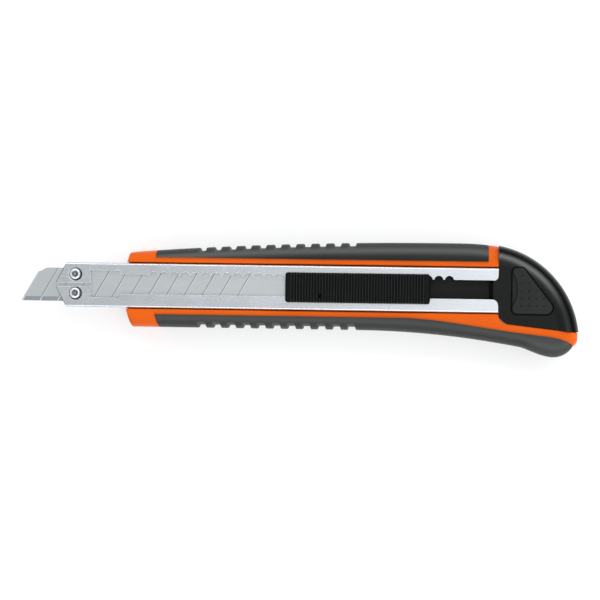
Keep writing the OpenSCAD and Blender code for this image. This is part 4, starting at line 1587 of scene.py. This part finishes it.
class PlainNodes:
    """CAD nodes whose shape is right: they get their finish."""

    finishes: dict[str, Slot] = {
        "upper_nose_plate": Slot.SPRING,
        "lower_nose_plate": Slot.SPRING,
        "nose_guide": Slot.GUIDE,
        "channel_screw": Slot.RIVET,
        "snap_blade": Slot.BLADE,
        "blade_carrier": Slot.BLACK,
        "carrier_pin": Slot.RIVET,
        "lock_spring": Slot.LEAF,
        "magazine_tray": Slot.BLACK,
        "spare_blade_1": Slot.SPARE,
        "spare_blade_2": Slot.SPARE,
        "spare_blade_3": Slot.SPARE,
        "blade_clip": Slot.LEAF,
        "latch_spring": Slot.LEAF,
    }

    def __init__(self, palette: Palette) -> None:
        """Takes the materials."""
        self.palette = palette

    def build(self) -> None:
        """Dresses each node."""
        for node, slot in self.finishes.items():
            dress(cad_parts[node], self.palette[slot])
            LOG.info("%s: %s", node, FINISHES[slot].name)


# ---- Studio ----


@dataclass
class Studio:
    """Pale floor, soft lights and the camera."""

    distance_mm: float = 600.0
    tilt_deg: float = 4.6
    roll_deg: float = 0.86
    field_mm: float = 161.2037
    target_mm: tuple[float, float, float] = (0.13, -3.3, 11.0)
    zenith: float = 0.6
    horizon: float = 1.1
    rear_gain: float = 2.6
    front_gain: float = 0.3
    nose_loss: float = 0.22
    mirror_low: float = 0.42
    mirror_high: float = 0.75
    mirror_strip: float = 2.4

    def floor(self) -> None:
        """Lays a pale matt board, lit a little from below like a light table, just under the knife."""
        mesh = bpy.data.meshes.new("floor")
        half, z = 1.5, -0.00002
        corners = [(-half, -half, z), (half, -half, z), (half, half, z), (-half, half, z)]
        mesh.from_pydata(corners, [], [(0, 1, 2, 3)])
        floor = new_object("floor", mesh)
        material = bpy.data.materials.new("pale matt board")
        material.use_nodes = True
        shader = next(n for n in material.node_tree.nodes if n.type == "BSDF_PRINCIPLED")
        shader.inputs["Base Color"].default_value = (0.42, 0.42, 0.42, 1.0)
        shader.inputs["Roughness"].default_value = 0.9
        shader.inputs["Emission Color"].default_value = (1.0, 1.0, 1.0, 1.0)
        shader.inputs["Emission Strength"].default_value = 0.52
        dress(floor, material)

    def light(self, name: str, place: Sequence[float], size: Sequence[float], power: float) -> None:
        """Adds an area light that faces the knife.

        Args:
            name: its name.
            place: its position in metres.
            size: its width and depth in metres.
            power: its power in watts.
        """
        data = bpy.data.lights.new(name, "AREA")
        data.shape = "RECTANGLE"
        data.size, data.size_y = size
        data.energy = power
        lamp = bpy.data.objects.new(name, data)
        lamp.location = place
        lamp.visible_glossy = False
        lamp.rotation_mode = "QUATERNION"
        lamp.rotation_quaternion = Vector(place).to_track_quat("Z", "Y")
        bpy.context.scene.collection.objects.link(lamp)

    def ramp(self, tree: bpy.types.NodeTree, value: bpy.types.NodeSocket, ends: tuple[float, float],
             low: float, high: float) -> bpy.types.NodeSocket:
        """Smooth step of a value.

        Args:
            tree: the node tree.
            value: the value.
            ends: where the step starts and ends.
            low: result before the step.
            high: result after the step.

        Returns:
            The stepped value.
        """
        node = add_node(tree, "ShaderNodeMapRange", {"interpolation_type": "SMOOTHSTEP"},
                        {"From Min": ends[0], "From Max": ends[1], "To Min": low, "To Max": high},
                        {"Value": value})
        return node.outputs["Result"]

    def join(self, tree: bpy.types.NodeTree, operation: str, first: bpy.types.NodeSocket,
             second: bpy.types.NodeSocket) -> bpy.types.NodeSocket:
        """Adds or multiplies two values.

        Args:
            tree: the node tree.
            operation: ADD or MULTIPLY.
            first: one value.
            second: the other value.

        Returns:
            The result.
        """
        node = add_node(tree, "ShaderNodeMath", {"operation": operation}, links={0: first, 1: second})
        return node.outputs[0]

    def world(self) -> None:
        """Fills the room with soft light, and gives shiny faces a dimmer room to mirror.

        Matt faces get height * (nose + side + front): dim overhead, brighter to the horizon and to +X.
        Mirror rays see that only near the zenith. Lower down the room is darker, so that steel keeps its
        tone from every side, and two bright strips over the long sides draw a light line along each fold.
        """
        world = bpy.data.worlds.new("soft room")
        world.use_nodes = True
        tree = world.node_tree
        background = next(n for n in tree.nodes if n.type == "BACKGROUND")
        place = add_node(tree, "ShaderNodeTexCoord")
        axes = add_node(tree, "ShaderNodeSeparateXYZ", links={"Vector": place.outputs["Generated"]}).outputs
        height = self.ramp(tree, axes["Z"], (0.95, 0.25), self.zenith, self.horizon)
        side = self.ramp(tree, axes["X"], (-0.07, 0.06), 0.0, self.rear_gain - 1.0)
        front = self.ramp(tree, axes["X"], (-0.65, -0.28), self.front_gain, 1.0)
        nose = self.ramp(tree, axes["X"], (-0.17, 0.0), -self.nose_loss, 0.0)
        along = self.join(tree, "ADD", self.join(tree, "ADD", nose, side), front)
        matt = self.join(tree, "MULTIPLY", height, along)
        rising = self.ramp(tree, axes["Z"], (0.1, 0.8), self.mirror_low, self.mirror_high)
        low = self.join(tree, "MULTIPLY", rising, self.ramp(tree, axes["X"], (-0.25, 0.6), 1.3, 0.6))
        overhead = self.ramp(tree, axes["Z"], (0.82, 0.94), 0.0, 1.0)
        room = add_node(tree, "ShaderNodeMix", {"data_type": "FLOAT"},
                        links={"Factor": overhead, 2: low, 3: matt})
        reach = add_node(tree, "ShaderNodeMath", {"operation": "ABSOLUTE"}, links={0: axes["Y"]}).outputs[0]
        glow = self.ramp(tree, reach, (0.36, 0.44), 0.0, self.mirror_strip)
        glow = self.join(tree, "MULTIPLY", glow, self.ramp(tree, reach, (0.56, 0.64), 1.0, 0.0))
        glow = self.join(tree, "MULTIPLY", glow, self.ramp(tree, axes["Z"], (0.7, 0.8), 0.0, 1.0))
        mirror = self.join(tree, "ADD", room.outputs[0], glow)
        ray = add_node(tree, "ShaderNodeLightPath")
        strength = add_node(tree, "ShaderNodeMix", {"data_type": "FLOAT"},
                            links={"Factor": ray.outputs["Is Glossy Ray"], 2: matt, 3: mirror})
        tree.links.new(strength.outputs[0], background.inputs["Strength"])
        background.inputs["Color"].default_value = (0.98, 0.99, 1.0, 1.0)
        bpy.context.scene.world = world

    def camera(self) -> None:
        """Places the camera over the knife, turned slightly as the view is."""
        data = bpy.data.cameras.new("camera")
        data.sensor_width = 36.0
        data.lens = data.sensor_width * self.distance_mm / self.field_mm
        data.clip_start, data.clip_end = 0.01, 10.0
        tilt, roll = math.radians(self.tilt_deg), math.radians(self.roll_deg)
        back = Vector((math.sin(tilt), 0.0, math.cos(tilt)))
        up = Vector((-math.sin(roll), math.cos(roll), 0.0))
        up = (up - back * up.dot(back)).normalized()
        right = up.cross(back)
        turn = Matrix((right, up, back)).transposed().to_4x4()
        turn.translation = (Vector(self.target_mm) + back * self.distance_mm) * MM
        camera = bpy.data.objects.new("camera", data)
        camera.matrix_world = turn
        bpy.context.scene.collection.objects.link(camera)
        bpy.context.scene.camera = camera

    def build(self) -> None:
        """Sets up floor, lights and camera."""
        bpy.context.scene.view_settings.view_transform = "Standard"
        self.floor()
        self.world()
        self.light("upper strip", (0.0, 0.7, 0.85), (1.6, 0.22), 5.5)
        self.light("lower strip", (0.0, -0.7, 0.85), (1.6, 0.22), 3.3)
        self.camera()


def main() -> None:
    """Builds the knife's sub-assemblies in order, then the studio."""
    logging.basicConfig(level=logging.INFO, format="%(message)s")
    palette = Palette()
    handle = Handle(palette)
    handle.build()
    Channel(palette).build()
    ThumbSlider(palette).build()
    EndCap(palette, handle.lines).build()
    PlainNodes(palette).build()
    Studio().build()


if __name__ == "__main__":
    main()
